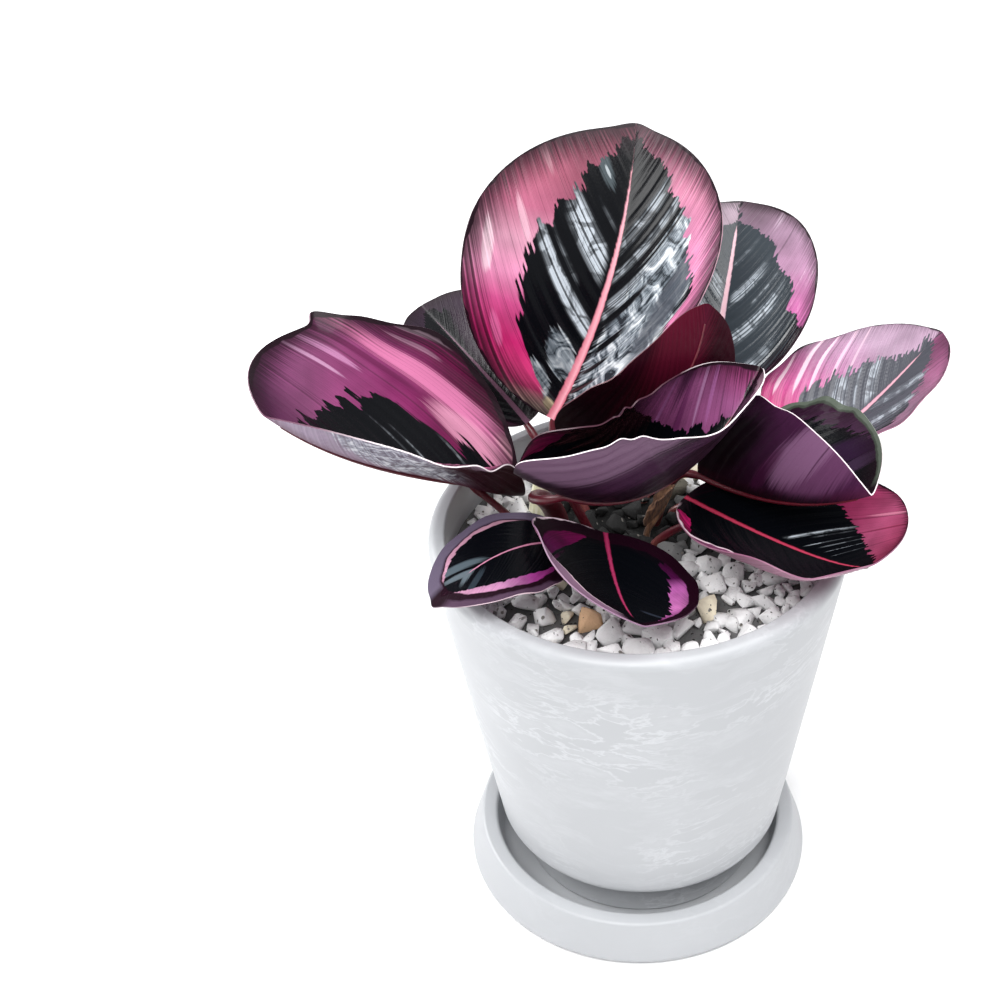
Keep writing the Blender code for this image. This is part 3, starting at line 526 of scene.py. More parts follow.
class LeafSettings(bpy.types.PropertyGroup):
    """Sizes and colours of the leaves."""

    thickness: FloatProperty(
        name="Blade thickness", description="Thickness of a blade", default=0.45 * MM,
        min=0.3 * MM, max=1.5 * MM, unit="LENGTH", precision=5)
    centre: colour_setting("Centre", "Black-green centre of the upper side", "#040508")
    # The streaks' colour: the leaf's own silver and a painted sheen
    silver_and_sheen: colour_setting("Streaks", "Silvery streaks in the centre", "#BCC4CC")
    edge: colour_setting("Edge", "Dark edge line of the upper side", "#1A0612")
    stem: colour_setting("Stem", "Leaf stems", "#400814")


class StoneSettings(bpy.types.PropertyGroup):
    """The top dressing."""

    small_stones: IntProperty(
        name="Small stones", description="Highest number of small stones in the gaps between the large",
        default=540, min=0, max=700)
    small_radius: FloatProperty(
        name="Small radius", description="Radius of the largest small stone",
        default=4.3 * MM, min=1 * MM, max=5 * MM, unit="LENGTH", precision=5)
    pale: colour_setting("Pale stone", "Most of the stones", "#F6F6F6")
    warm: colour_setting("Cream stone", "The few cream stones", "#ECE2CA")
    rust: colour_setting("Rust stone", "The rust-coloured stone", "#DAB38E")


class PotSettings(bpy.types.PropertyGroup):
    """The pot and its saucer."""

    turn_steps: IntProperty(
        name="Steps", description="Faces round the pot and saucer", default=160, min=32, max=256)
    plastic: colour_setting("Plastic", "Colour of the pot and saucer", "#AFB1B4")
    marbling: colour_setting("Marbling", "Whitish wisps in the pot's plastic", "#C9CBCE")


class StudioSettings(bpy.types.PropertyGroup):
    """Floor and lights."""

    floor: colour_setting("Floor", "Colour of the floor", "#F4F4F4")
    daylight: FloatProperty(
        name="Daylight", description="Strength of the even light all round", default=0.42,
        min=0, max=3)
    ceiling: FloatProperty(
        name="Ceiling", description="Power of the light above, in watts", default=56, min=0,
        max=200)
    window: FloatProperty(
        name="Window", description="Power of the window light, in watts", default=13, min=0,
        max=200)
    front: FloatProperty(
        name="Front", description="Power of the light in front, in watts", default=35, min=0,
        max=200)


# Helpers for meshes

def placed(name, data):
    """A new object in the scene that shows this mesh, curve, light or camera."""
    item = bpy.data.objects.new(name, data)
    bpy.context.scene.collection.objects.link(item)
    return item


def link(name, mesh, materials, node):
    """Put a finished piece in the scene; it rides on the plant and stands for its CAD node."""
    item = placed(name, mesh)
    for material in materials:
        mesh.materials.append(material)
    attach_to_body(item, BODY)
    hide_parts(node)


def applied(item):
    """The mesh that an object shows, with its bevel or modifiers applied; the object goes."""
    bpy.context.view_layer.update()
    shown = item.evaluated_get(bpy.context.evaluated_depsgraph_get())
    mesh = bpy.data.meshes.new_from_object(shown)
    bpy.data.objects.remove(item, do_unlink=True)
    return mesh


def finished_mesh(bm, name, smooth_angle=40):
    """Turn a bmesh into a smooth-shaded mesh, sharp only over steep edges, and free it."""
    mesh = bpy.data.meshes.new(name)
    bm.to_mesh(mesh)
    bm.free()
    mesh.shade_smooth()
    mesh.set_sharp_from_angle(angle=math.radians(smooth_angle))
    return mesh


def turned(name, profile, steps, offset=(0, 0, 0)):
    """A turned mesh: an outline of (radius, height) points spun about the Z axis."""
    bm = bmesh.new()
    corners = [bm.verts.new((radius, 0, height)) for radius, height in profile]
    edges = [bm.edges.new(pair) for pair in zip(corners, corners[1:])]
    if profile[0][0] > 0:
        edges.append(bm.edges.new((corners[-1], corners[0])))
    bmesh.ops.spin(bm, geom=corners + edges, cent=(0, 0, 0), axis=(0, 0, 1),
                   angle=math.tau, steps=steps, use_merge=True)
    bmesh.ops.remove_doubles(bm, verts=bm.verts, dist=0.01 * MM)
    bmesh.ops.dissolve_degenerate(bm, edges=bm.edges, dist=0.01 * MM)
    bmesh.ops.recalc_face_normals(bm, faces=bm.faces)
    bmesh.ops.translate(bm, verts=bm.verts, vec=offset)
    return finished_mesh(bm, name)


def arc(centre, radius, start, end, steps):
    """Points of an arc in the (radius, height) plane, angles in degrees."""
    points = []
    for i in range(steps + 1):
        angle = math.radians(start + (end - start) * i / steps)
        points.append((centre[0] + radius * math.cos(angle),
                       centre[1] + radius * math.sin(angle)))
    return points


def tube_mesh(name, path, resolution=4):
    """A closed round tube along a path of (point, radius)."""
    curve = bpy.data.curves.new(name, "CURVE")
    curve.dimensions = "3D"
    curve.bevel_depth = 1
    curve.bevel_resolution = resolution
    curve.use_fill_caps = True
    spline = curve.splines.new("POLY")
    spline.points.add(len(path) - 1)
    for knot, (point, radius) in zip(spline.points, path):
        knot.co = (*point, 1)
        knot.radius = radius
    mesh = applied(placed(name, curve))
    bpy.data.curves.remove(curve)
    bm = bmesh.new()
    bm.from_mesh(mesh)
    bmesh.ops.remove_doubles(bm, verts=bm.verts, dist=0.001 * MM)
    bmesh.ops.recalc_face_normals(bm, faces=bm.faces)
    bm.to_mesh(mesh)
    bm.free()
    return mesh


# Helpers for materials

SOFT = {"interpolation_type": "SMOOTHSTEP"}    # a Map Range that starts and ends gently
# Tones of the painted reflection on crumpled skin, from its dark folds to its bright facets
PAINTED_GLARE_TONES = [(0.5, "#262B31"), (0.6, "#6A737B"), (0.7, "#9CA4AB"), (0.82, "#DDE2E5")]


def rgba(value):
    """A colour for a socket or a ramp, from sRGB hex, three linear parts or a grey value."""
    if isinstance(value, str):
        value = linear(value)
    return (*value, 1) if isinstance(value, tuple) else (value, value, value, 1)


def put(socket, value):
    """Link an input to a node's output, or set it to a value or colour."""
    if isinstance(value, bpy.types.NodeSocket):
        socket.id_data.links.new(value, socket)
    else:
        socket.default_value = rgba(value) if socket.type == "RGBA" else value


def add(tree, kind, inputs=(), operation=None, output=0, stops=(), **settings):
    """Add a node with its settings and a ramp's stops, fill its inputs, return an output.

    Inputs are a list in the node's order, or go by number or name. A Mix mixes colours, for
    which it has sockets of its own: its list is the factor, the first and the second.
    """
    node = tree.nodes.new("ShaderNode" + kind)
    colours = kind == "Mix"
    if colours:
        settings["data_type"] = "RGBA"
    if operation:
        settings["operation"] = operation
    for key, value in settings.items():
        setattr(node, key, value)
    while stops and len(node.color_ramp.elements) > 1:
        node.color_ramp.elements.remove(node.color_ramp.elements[-1])
    for i, (place, value) in enumerate(stops):
        ramp = node.color_ramp.elements
        element = ramp[0] if i == 0 else ramp.new(place)
        element.position = place
        element.color = rgba(value)
    if isinstance(inputs, list):
        inputs = dict(zip((0, 6, 7) if colours else range(len(inputs)), inputs))
    for key, value in dict(inputs).items():
        put(node.inputs[key], value)
    return node.outputs[2 if colours else output]


def new_material(name, **constants):
    """A material with a Principled shader; constants go on the shader's own sockets."""
    material = bpy.data.materials.new(name)
    material.use_nodes = True
    shader = material.node_tree.nodes["Principled BSDF"]
    for key, value in constants.items():
        put(shader.inputs[key.replace("_", " ")], value)
    return material, material.node_tree, shader


def dress(shader, skin, height=None, depth=0.0, strength=1.0, rough=None):
    """Give a shader its colour and, where a skin has them, its relief and its roughness."""
    put(shader.inputs["Base Color"], skin)
    if rough is not None:
        put(shader.inputs["Roughness"], rough)
    if height is not None:
        relief = {"Height": height, "Strength": strength, "Distance": depth}
        put(shader.inputs["Normal"], add(shader.id_data, "Bump", relief))


def by_side(tree, right, along, *sides):
    """A colour or grey along the blade, from stops between -1 and 1 for its left and right."""
    ramps = []
    for side in sides:
        stops = [((place + 1) / 2, value) for place, value in side]
        ramps.append(add(tree, "ValToRGB", [along], stops=stops))
    return add(tree, "Mix", [right, *ramps])


# Leaf shapes

def leaf_points(leaf):
    """Base, bow point and tip of the midrib, and the direction that the upper side faces."""
    bearing, rise = math.radians(leaf.bearing), math.radians(leaf.rise)
    along = Vector((math.cos(bearing) * math.cos(rise), math.sin(bearing) * math.cos(rise),
                    math.sin(rise)))
    up = Vector((0, 0, 1))
    level = (up - up.dot(along) * along).normalized()
    roll = math.radians(leaf.roll)
    face = math.cos(roll) * level + math.sin(roll) * along.cross(level)
    base = Vector(leaf.base) * MM
    tip = base + along * leaf.length * MM
    bow = face * leaf.sag + along.cross(face) * leaf.sway + along * leaf.along
    return base, (base + tip) / 2 + 2 * bow * MM, tip, face


def midrib(leaf, s):
    """The midrib at s, 0 at the base and 1 at the tip: point, direction, upper side, right."""
    base, bow, tip, face = leaf_points(leaf)
    point = (1 - s) ** 2 * base + 2 * s * (1 - s) * bow + s ** 2 * tip
    along = (2 * (1 - s) * (bow - base) + 2 * s * (tip - bow)).normalized()
    upper = (face - along.dot(face) * along).normalized()
    right = along.cross(upper)
    twist = math.radians(leaf.twist) * (s - 0.5)
    turned_upper = math.cos(twist) * upper + math.sin(twist) * right
    turned_right = math.cos(twist) * right - math.sin(twist) * upper
    return point, along, turned_upper, turned_right


def blade_point(leaf, x, y):
    """A point of the blade's upper side; x runs across and y along a disc of radius one.

    The fold at the midrib is rounded over about a millimetre.
    """
    s = (y + 1) / 2
    point, _, upper, right = midrib(leaf, s)
    side = 1 if x >= 0 else -1
    half_width = leaf.width / 2 * MM
    shape = half_width * (1 + leaf.taper * (0.5 - s)) * (1 + leaf.skew * side)
    out = abs(x) * shape
    raised = (math.hypot(x, FOLD_SOFT) - FOLD_SOFT) * shape
    fold = math.radians(leaf.fold[side > 0]) * (1 + leaf.opening * (1 - 2 * s))
    bend = math.radians(leaf.curl[side > 0]) / half_width
    if abs(bend * half_width) < 0.001:
        bend = 0.001 / half_width
    across = (math.sin(fold + bend * out) - math.sin(fold)) / bend
    lift = (math.cos(fold) - math.cos(fold + bend * raised)) / bend
    height, number, phase = leaf.wave
    lag = 0 if side > 0 else WAVE_LAG
    lift += height * MM * math.sin(math.tau * (number * s + phase / 360) + lag) * x ** 4
    turned_up = max(0, (abs(x) - LIP_START) / (1 - LIP_START))
    lift += leaf.lip[side > 0] * MM * turned_up ** 2
    return point + right * across * side + upper * lift


def vein_place(leaf, x, y):
    """Where along the midrib the side vein through this point starts."""
    rise, growth, bend = leaf.veins
    return y - (rise + growth * y) * abs(x) - bend * x * x


def relief(leaf, x, y):
    """Height of the pleats and creases above the smooth blade, in metres."""
    inner, outer = PLEAT_FADE
    to_end = PLEATS_END - math.hypot(x, y)
    fade = min(1, abs(x) / inner) * max(0, min(1, to_end / outer))
    place = vein_place(leaf, x, y) + (SIDE_SHIFT if x > 0 else 0)
    height = leaf.pleat * math.sin(math.tau * PLEATS * place) * fade
    height += 0.5 * leaf.pleat * math.sin(math.tau * FINE_PLEATS * place + 2 * x) * fade
    for x0, y0, x1, y1, lift, width in leaf.creases:
        run_x, run_y = x1 - x0, y1 - y0
        length = math.hypot(run_x, run_y)
        share = ((x - x0) * run_x + (y - y0) * run_y) / length ** 2
        if 0 < share < 1:
            away = ((x - x0) * run_y - (y - y0) * run_x) / length
            height += lift * math.exp(-(away / width) ** 2) * math.sin(math.pi * share) ** 0.5
    return height * MM


def blade_shell(name, leaf, thickness, materials):
    """The blade's shell: a fine grid laid on the blade's form, with its map, made solid.

    The map holds the place on the disc, so a pattern follows the veins.
    """
    bm = bmesh.new()
    bmesh.ops.create_grid(bm, x_segments=leaf.cells, y_segments=leaf.cells, size=1)
    layer = bm.loops.layers.uv.new("Blade")
    for vert in bm.verts:
        u, v = vert.co.x, vert.co.y
        vert.co = (u * math.sqrt(1 - v * v / 2), v * math.sqrt(1 - u * u / 2), 0)
    for face in bm.faces:
        for loop in face.loops:
            loop[layer].uv = loop.vert.co.xy
    heights = {}
    for vert in bm.verts:
        x, y = vert.co.x, vert.co.y
        heights[vert] = relief(leaf, x, y)
        ahead = leaf.point * math.exp(-(x / TIP_HALF) ** 2) * max(0, y) ** END_POWER
        ahead += leaf.blunt * math.exp(-(x / BASE_HALF) ** 2) * max(0, -y) ** END_POWER
        vert.co = blade_point(leaf, x, y + ahead)
        for flap_x, flap_y, half_width, forth, aside, lift in leaf.flaps:
            away = ((x - flap_x) ** 2 + (y - flap_y) ** 2) / half_width ** 2
            _, along, upper, right = midrib(leaf, (y + 1) / 2)
            pull = along * forth + right * aside + upper * lift
            vert.co += pull * MM * math.exp(-away)
    bm.normal_update()
    for vert, height in heights.items():
        vert.co += vert.normal * height
    mesh = bpy.data.meshes.new(name)
    bm.to_mesh(mesh)
    bm.free()
    for material in materials:
        mesh.materials.append(material)
    item = placed(name, mesh)
    shell = item.modifiers.new("Thickness", "SOLIDIFY")
    shell.thickness = thickness
    shell.offset = -1
    shell.use_even_offset = True
    shell.material_offset = 1
    shell.material_offset_rim = 2
    solid = applied(item)
    bpy.data.meshes.remove(mesh)
    return solid


def stem_path(leaf, steps=9, swell=0.0):
    """The stem's middle line and radius, from its hole in the soil to the blade's underside.

    Swell is the share by which it thickens near its end, where the leaf's joint is.
    """
    point, along, upper, _ = midrib(leaf, leaf.attach)
    root = Vector((leaf.root[0] * MM, leaf.root[1] * MM, STEM_FOOT_Z))
    end = point - upper * (BLADE + 0.5 * NECK_RADIUS)
    reach = (end - root).length
    outward = Vector((end.x - root.x, end.y - root.y, 0)).normalized()
    lean = (outward * STEM_LEAN + Vector((0, 0, 1))).normalized()
    landing = (along * (1 - leaf.hinge) + upper * leaf.hinge).normalized()
    first = root + lean * reach * leaf.climb
    second = end - landing * reach * leaf.lead
    path = []
    for i in range(steps + 1):
        s = i / steps
        place = ((1 - s) ** 3 * root + 3 * s * (1 - s) ** 2 * first
                 + 3 * s ** 2 * (1 - s) * second + s ** 3 * end)
        stays = (1 - s) ** 2 * (1 + 2 * s)
        radius = NECK_RADIUS + (leaf.stem * MM - NECK_RADIUS) * stays
        radius *= 1 + swell * math.exp(-((s - JOINT_AT) / JOINT_HALF) ** 2)
        path.append((place, radius))
    return path


def rib_path(leaf, steps=14):
    """The rib's middle line and radius under the blade, from the stem's end to near the tip."""
    path = []
    for i in range(1, steps + 1):
        share = i / steps
        s = leaf.attach + (RIB_END - leaf.attach) * share
        point, _, upper, _ = midrib(leaf, s)
        radius = NECK_RADIUS + (RIB_TIP_RADIUS - NECK_RADIUS) * share ** 0.8
        path.append((point - upper * (radius + RIB_DEPTH), radius))
    return path


def shoot_path(steps=8):
    """Middle line and radius of the young shoot, a leaf still rolled up in its sheath."""
    root = Vector((SHOOT_ROOT[0] * MM, SHOOT_ROOT[1] * MM, STEM_FOOT_Z))
    tip = Vector(SHOOT_TIP) * MM
    path = []
    for i in range(steps + 1):
        s = i / steps
        swell = 0.75 + 0.25 * math.sin(math.pi * min(1, s * 1.6))
        to_tip = max(0, s - SHOOT_TAPER) / (1 - SHOOT_TAPER)
        taper = 1 - 0.75 * to_tip ** 1.5
        bow = SHOOT_BOW * math.sin(math.pi * s)
        path.append((root.lerp(tip, s) + bow, SHOOT_RADIUS * swell * taper))
    return path


def whole_leaf(name, leaf, thickness, materials, path, resolution=4):
    """Blade, rib and stem of a leaf in one mesh; the last material is the stem's."""
    shell = blade_shell(name, leaf, thickness, materials)
    tube = tube_mesh(name, path, resolution)
    bm = bmesh.new()
    bm.from_mesh(shell)
    blades = len(bm.faces)
    bm.from_mesh(tube)
    bm.faces.ensure_lookup_table()
    for face in bm.faces[blades:]:
        face.material_index = len(materials) - 1
    bpy.data.meshes.remove(shell)
    bpy.data.meshes.remove(tube)
    return finished_mesh(bm, name, 50)


# Leaf materials

def vein_nodes(tree, leaf, seed):
    """What both faces of a leaf read.

    These are its map, x, y, the reach from the midrib, whether it is the right side, where the
    side vein starts, the same with each side and leaf set apart, the place along the blade from
    0 to 1, and the distance from its middle.
    """
    uv = add(tree, "UVMap", uv_map="Blade")
    x = add(tree, "SeparateXYZ", [uv])
    y = x.node.outputs[1]
    reach = add(tree, "Math", [x], "ABSOLUTE")
    right = add(tree, "Math", [x, 0.0], "GREATER_THAN")
    rise, growth, bend = leaf.veins
    slope = add(tree, "Math", [y, growth, rise], "MULTIPLY_ADD")
    climb = add(tree, "Math", [slope, reach], "MULTIPLY")
    square = add(tree, "Math", [reach, reach], "MULTIPLY")
    climb = add(tree, "Math", [square, bend, climb], "MULTIPLY_ADD")
    vein = add(tree, "Math", [y, climb], "SUBTRACT")
    own = add(tree, "Math", [right, 7.31, vein], "MULTIPLY_ADD")
    own = add(tree, "Math", [own, 20.0 * seed + 3.0], "ADD")
    along = add(tree, "Math", [y, 0.5, 0.5], "MULTIPLY_ADD")
    radius = add(tree, "VectorMath", [uv], "LENGTH", "Value")
    return uv, x, y, reach, right, vein, own, along, radius


def mask_distance(tree, x, vein, across, place, half_across, half_place):
    """Square of the distance from a patch's middle, one at its outline."""
    run = add(tree, "Math", [x, across], "SUBTRACT")
    run = add(tree, "Math", [run, half_across], "DIVIDE")
    run = add(tree, "Math", [run, 2.0], "POWER")
    rise = add(tree, "Math", [vein, place], "SUBTRACT")
    rise = add(tree, "Math", [rise, half_place], "DIVIDE")
    rise = add(tree, "Math", [rise, 2.0], "POWER")
    return add(tree, "Math", [run, rise], "ADD")


def add_patches(tree, skin, patches, x, vein, silk):
    """Lay soft patches over a skin, their ends torn along the veins."""
    for across, place, half_across, half_place, strength, colour in patches:
        away = mask_distance(tree, x, vein, across, place, half_across, half_place)
        away = add(tree, "Math", [silk, -1.0, away], "MULTIPLY_ADD")
        cover = add(tree, "MapRange", [away, 0.5, -0.2, 0.0, strength], **SOFT)
        skin = add(tree, "Mix", [cover, skin, colour])
    return skin


def add_painted_glare(tree, skin, patches, uv, x, vein, silk):
    """Lay a painted reflection over a skin, as off crumpled wax: bright facets of a few millimetres
    between dark folds.
    """
    if not patches:
        return skin
    crumple = add(tree, "TexNoise", {0: uv, "Scale": 7.0, "Detail": 4.0, "Roughness": 0.6,
                                     "Distortion": 1.0}, noise_dimensions="2D")
    crumple = add(tree, "Math", [silk, 0.3, crumple], "MULTIPLY_ADD")
    shine = add(tree, "ValToRGB", [crumple], stops=PAINTED_GLARE_TONES)
    for across, place, half_across, half_place, strength in patches:
        away = mask_distance(tree, x, vein, across, place, half_across, half_place)
        cover = add(tree, "Math", [silk, -0.9, away], "MULTIPLY_ADD")
        cover = add(tree, "MapRange", [cover, 0.5, 0.1, 0.0, strength], **SOFT)
        skin = add(tree, "Mix", [cover, skin, shine])
    return skin


def add_silver_and_sheen_streaks(tree, skin, colour, streaks, uv, x, vein, silk):
    """Lay silvery streaks between the side veins, broken up along the fine ones: partly the leaf's own
    silver, partly a painted sheen off the vein ridges.
    """
    if not streaks:
        return skin
    bands = []
    for side, place, width, start, end, strength in streaks:
        away = add(tree, "Math", [vein, place], "SUBTRACT")
        away = add(tree, "Math", [away], "ABSOLUTE")
        band = add(tree, "MapRange", [away, width, 0.3 * width, 0.0, strength], **SOFT)
        outward = add(tree, "Math", [x, side], "MULTIPLY")
        first = add(tree, "MapRange", [outward, start - 0.03, start + 0.05], **SOFT)
        last = add(tree, "MapRange", [outward, end, end - 0.2], **SOFT)
        band = add(tree, "Math", [band, first], "MULTIPLY")
        bands.append(add(tree, "Math", [band, last], "MULTIPLY"))
    silver_and_sheen = bands[0]
    for band in bands[1:]:
        silver_and_sheen = add(tree, "Math", [silver_and_sheen, band], "MAXIMUM")
    gaps = add(tree, "MapRange", [silk, 0.42, 0.56, 0.12, 1.0])
    silver_and_sheen = add(tree, "Math", [silver_and_sheen, gaps], "MULTIPLY")
    broken = add(tree, "TexNoise", {0: uv, "Scale": 8.0, "Detail": 3.0, "Distortion": 0.8},
                 noise_dimensions="2D")
    broken = add(tree, "MapRange", [broken, 0.4, 0.56, 0.25, 1.1])
    silver_and_sheen = add(tree, "Math", [silver_and_sheen, broken], "MULTIPLY")
    return add(tree, "Mix", [silver_and_sheen, skin, colour])


def add_hems(tree, skin, hems, x, y, rim):
    """Lay turned-over margins on a skin, each with a pale line where it turns."""
    for side, start, width, hem_colour, line_colour in hems:
        outward = add(tree, "Math", [x, side], "MULTIPLY")
        here = add(tree, "MapRange", [outward, 0.1, 0.25])
        opened = add(tree, "MapRange", [y, start, start + 0.35, 0.0, width], **SOFT)
        from_edge = add(tree, "Math", [rim, opened], "ADD")
        from_edge = add(tree, "Math", [from_edge, 1.0], "SUBTRACT")
        cover = add(tree, "MapRange", [from_edge, -0.006, 0.006])
        cover = add(tree, "Math", [cover, here], "MULTIPLY")
        skin = add(tree, "Mix", [cover, skin, hem_colour])
        turn = add(tree, "Math", [from_edge], "ABSOLUTE")
        turn = add(tree, "MapRange", [turn, 0.016, 0.006])
        turn = add(tree, "Math", [turn, here], "MULTIPLY")
        skin = add(tree, "Mix", [turn, skin, line_colour])
    return skin


def add_midrib(tree, skin, paint, y, reach, stripe):
    """Paint the midrib on a skin: it narrows towards the tip and has a paler middle."""
    base_half, tip_half, end = paint.rib
    half_width = add(tree, "MapRange", [y, -1.0, end, base_half, tip_half])
    stops_at = add(tree, "MapRange", [y, end, end - 0.12, -0.03])
    half_width = add(tree, "Math", [half_width, stops_at], "MULTIPLY")
    ragged = add(tree, "Math", [stripe, 0.005, half_width], "MULTIPLY_ADD")
    ragged = add(tree, "Math", [ragged, reach], "SUBTRACT")
    rib = add(tree, "MapRange", [ragged, 0.0, 0.014], **SOFT)
    middle = add(tree, "MapRange", [reach, 0.0, base_half * 0.7, 0.55, 0.0])
    rib_colour = add(tree, "Mix", [middle, paint.rib_colour, paint.rib_middle])
    return add(tree, "Mix", [rib, skin, rib_colour])


def upper_side(name, leaf, paint, colours):
    """Upper side of a living leaf: waxy skin over deep pigment.

    The eye gets a glossy black-green centre whose edge is torn along the veins, silky rose
    outside it, a dark edge line, and a pale rose midrib.
    """
    material, tree, shader = new_material(
        name, IOR=1.4, Coat_Weight=0.22 * paint.gloss, Coat_Roughness=0.1,
        Specular_IOR_Level=0.4 * paint.gloss)
    uv, x, y, reach, right, vein, own, along, radius = vein_nodes(tree, leaf, paint.seed)

    # Teeth: stripes between fine veins, about 1 mm, end at their own reach; lobes about 8 mm
    cell = add(tree, "Math", [own, leaf.length / 2 / TOOTH_STEP], "MULTIPLY")
    cell = add(tree, "Math", [cell], "FLOOR")
    stripe = add(tree, "TexWhiteNoise", {"W": cell}, noise_dimensions="1D")
    lobes = add(tree, "TexNoise", {"W": own, "Scale": 7.0, "Detail": 1.0}, noise_dimensions="1D")
    silk = add(tree, "TexNoise", {"W": own, "Scale": 46.0, "Detail": 2.0}, noise_dimensions="1D")
    limit = by_side(tree, right, along, paint.left, paint.right)
    limit = add(tree, "Math", [stripe, paint.tooth, limit], "MULTIPLY_ADD")
    limit = add(tree, "Math", [lobes, 2 * paint.lobe, limit], "MULTIPLY_ADD")
    limit = add(tree, "Math", [limit, paint.tooth / 2 + paint.lobe], "SUBTRACT")
    inside = add(tree, "Math", [limit, reach], "SUBTRACT")
    centre = add(tree, "MapRange", [inside, -0.008, 0.008], **SOFT)

    # Rose: along the blade, with silk along the veins, soft patches and thin dark lines
    rose = by_side(tree, right, along, paint.left_rose, paint.right_rose)
    patches = add(tree, "TexNoise", {0: uv, "Scale": 2.6, "Detail": 2.0}, noise_dimensions="2D")
    lightness = add(tree, "MapRange", [silk, 0.3, 0.7, 0.86, 1.12])
    lightness = add(tree, "Math", [lightness, patches, 0.0], "MULTIPLY")
    lightness = add(tree, "Math", [lightness, 0.9, 0.37], "MULTIPLY_ADD")
    rose = add(tree, "HueSaturation", {"Value": lightness, "Color": rose})
    rose = add_patches(tree, rose, paint.on_rose, x, vein, silk)
    thin = add(tree, "TexNoise", {"W": own, "Scale": 15.0, "Detail": 0.0}, noise_dimensions="1D")
    thin = add(tree, "Math", [thin, 0.5, 0.009], "COMPARE")
    thin = add(tree, "Math", [thin, 0.4], "MULTIPLY")
    rose = add(tree, "Mix", [thin, rose, colours["edge"]])

    # Centre with its silvery streaks, partly painted sheen, which break up along the fine veins; then
    # painted reflections and the patches
    dark = add(tree, "Mix", [silk, colours["centre"], colours["centre_light"]])
    dark = add_silver_and_sheen_streaks(tree, dark, colours["silver_and_sheen"], paint.streaks, uv, x, vein, silk)
    dark = add_painted_glare(tree, dark, paint.painted_glare, uv, x, vein, silk)
    dark = add_patches(tree, dark, paint.on_centre, x, vein, silk)
    skin = add(tree, "Mix", [centre, rose, dark])

    # Dark edge, with a soft shade inside it
    wander = add(tree, "TexNoise", {0: uv, "Scale": 5.0, "Detail": 2.0}, noise_dimensions="2D")
    wander = add(tree, "Math", [wander, 0.06, -0.03], "MULTIPLY_ADD")
    rim = add(tree, "Math", [radius, wander], "ADD")
    torn = add(tree, "Math", [silk, -0.22, rim], "MULTIPLY_ADD")
    torn = add(tree, "Math", [torn, 0.11], "ADD")
    edge = 1 - paint.edge
    shade = add(tree, "MapRange", [torn, edge - paint.shade, 1.0, 0.0, paint.shade_depth], **SOFT)
    line = add(tree, "MapRange", [rim, edge - 0.012, edge + 0.008], **SOFT)
    line = add(tree, "Math", [line, shade], "MAXIMUM")
    skin = add(tree, "Mix", [line, skin, colours["edge"]])

    skin = add_hems(tree, skin, paint.hem, x, y, rim)
    skin = add_midrib(tree, skin, paint, y, reach, stripe)

    # Gloss: wet-looking centre, silkier rose; relief: fine veins and skin cells
    gloss = add(tree, "MapRange", [centre, 0.0, 1.0, 0.4, 0.26])
    fine = add(tree, "TexNoise", {"W": own, "Scale": leaf.length / 2 / FINE_VEIN, "Detail": 0.0},
               noise_dimensions="1D")
    cells = add(tree, "TexNoise", {0: uv, "Scale": 60.0, "Detail": 3.0}, noise_dimensions="2D")
    height = add(tree, "Math", [cells, 0.35, fine], "MULTIPLY_ADD")
    dress(shader, skin, height, 0.12 * MM, 0.6, gloss)
    return material


def underside(name, leaf, paint):
    """Underside of a living leaf: matt wine-coloured skin with fine raised veins.

    The eye gets a silky mauve bloom over purple, lighter where it curves away; on some leaves light
    patches on it are painted sheen and painted light.
    """
    material, tree, shader = new_material(
        name, IOR=1.4, Sheen_Weight=0.04 * paint.under_gloss, Sheen_Roughness=0.4,
        Coat_Weight=0.03 * paint.under_gloss, Coat_Roughness=0.3,
        Specular_IOR_Level=0.18 * paint.under_gloss, Sheen_Tint="#C9A6C0")
    uv, x, _, reach, _, vein, own, along, _ = vein_nodes(tree, leaf, paint.seed + 0.5)
    skin = add(tree, "ValToRGB", [along], stops=[(0.08, paint.under[0]), (0.92, paint.under[1])])
    silk = add(tree, "TexNoise", {"W": own, "Scale": 30.0, "Detail": 3.0}, noise_dimensions="1D")
    clouds = add(tree, "TexNoise", {0: uv, "Scale": 2.2, "Detail": 3.0}, noise_dimensions="2D")
    lightness = add(tree, "Math", [silk, clouds], "ADD")
    lightness = add(tree, "MapRange", [lightness, 0.6, 1.4, 0.7, 1.3])
    skin = add(tree, "HueSaturation", {"Value": lightness, "Color": skin})
    wine = add(tree, "MapRange", [reach, 0.14, 0.0, 0.0, 0.6])
    skin = add(tree, "Mix", [wine, skin, "#4A1026"])
    skin = add_painted_glare(tree, skin, paint.under_painted_glare, uv, x, vein, silk)
    skin = add_patches(tree, skin, paint.on_under, x, vein, silk)
    rough = add(tree, "MapRange", [clouds, 0.3, 0.7, 0.38, 0.52])
    fine = add(tree, "TexNoise", {"W": own, "Scale": leaf.length / 2 / FINE_VEIN, "Detail": 1.0},
               noise_dimensions="1D")
    dress(shader, skin, fine, 0.15 * MM, 0.6, rough)
    return material


def cut_edge(name, paint):
    """Rim of a blade: a thin seam with little pigment, which the eye reads as a pale line."""
    material, tree, shader = new_material(name, Roughness=0.45)
    x = add(tree, "SeparateXYZ", [add(tree, "UVMap", uv_map="Blade")])
    tipwards = add(tree, "MapRange", [x.node.outputs[1], 0.75, 0.95])
    where = add(tree, "TexCoord", output="Object")
    tone = add(tree, "TexNoise", {"Vector": where, "Scale": 240.0, "Detail": 2.0})
    level = add(tree, "Math", [tone, 0.6, x], "MULTIPLY_ADD")
    level = add(tree, "MapRange", [level, 0.1, 0.5])
    level = add(tree, "Math", [level, tipwards], "MAXIMUM")
    skin = add(tree, "Mix", [level, paint.rim[0], paint.rim[1]])
    dress(shader, skin)
    return material


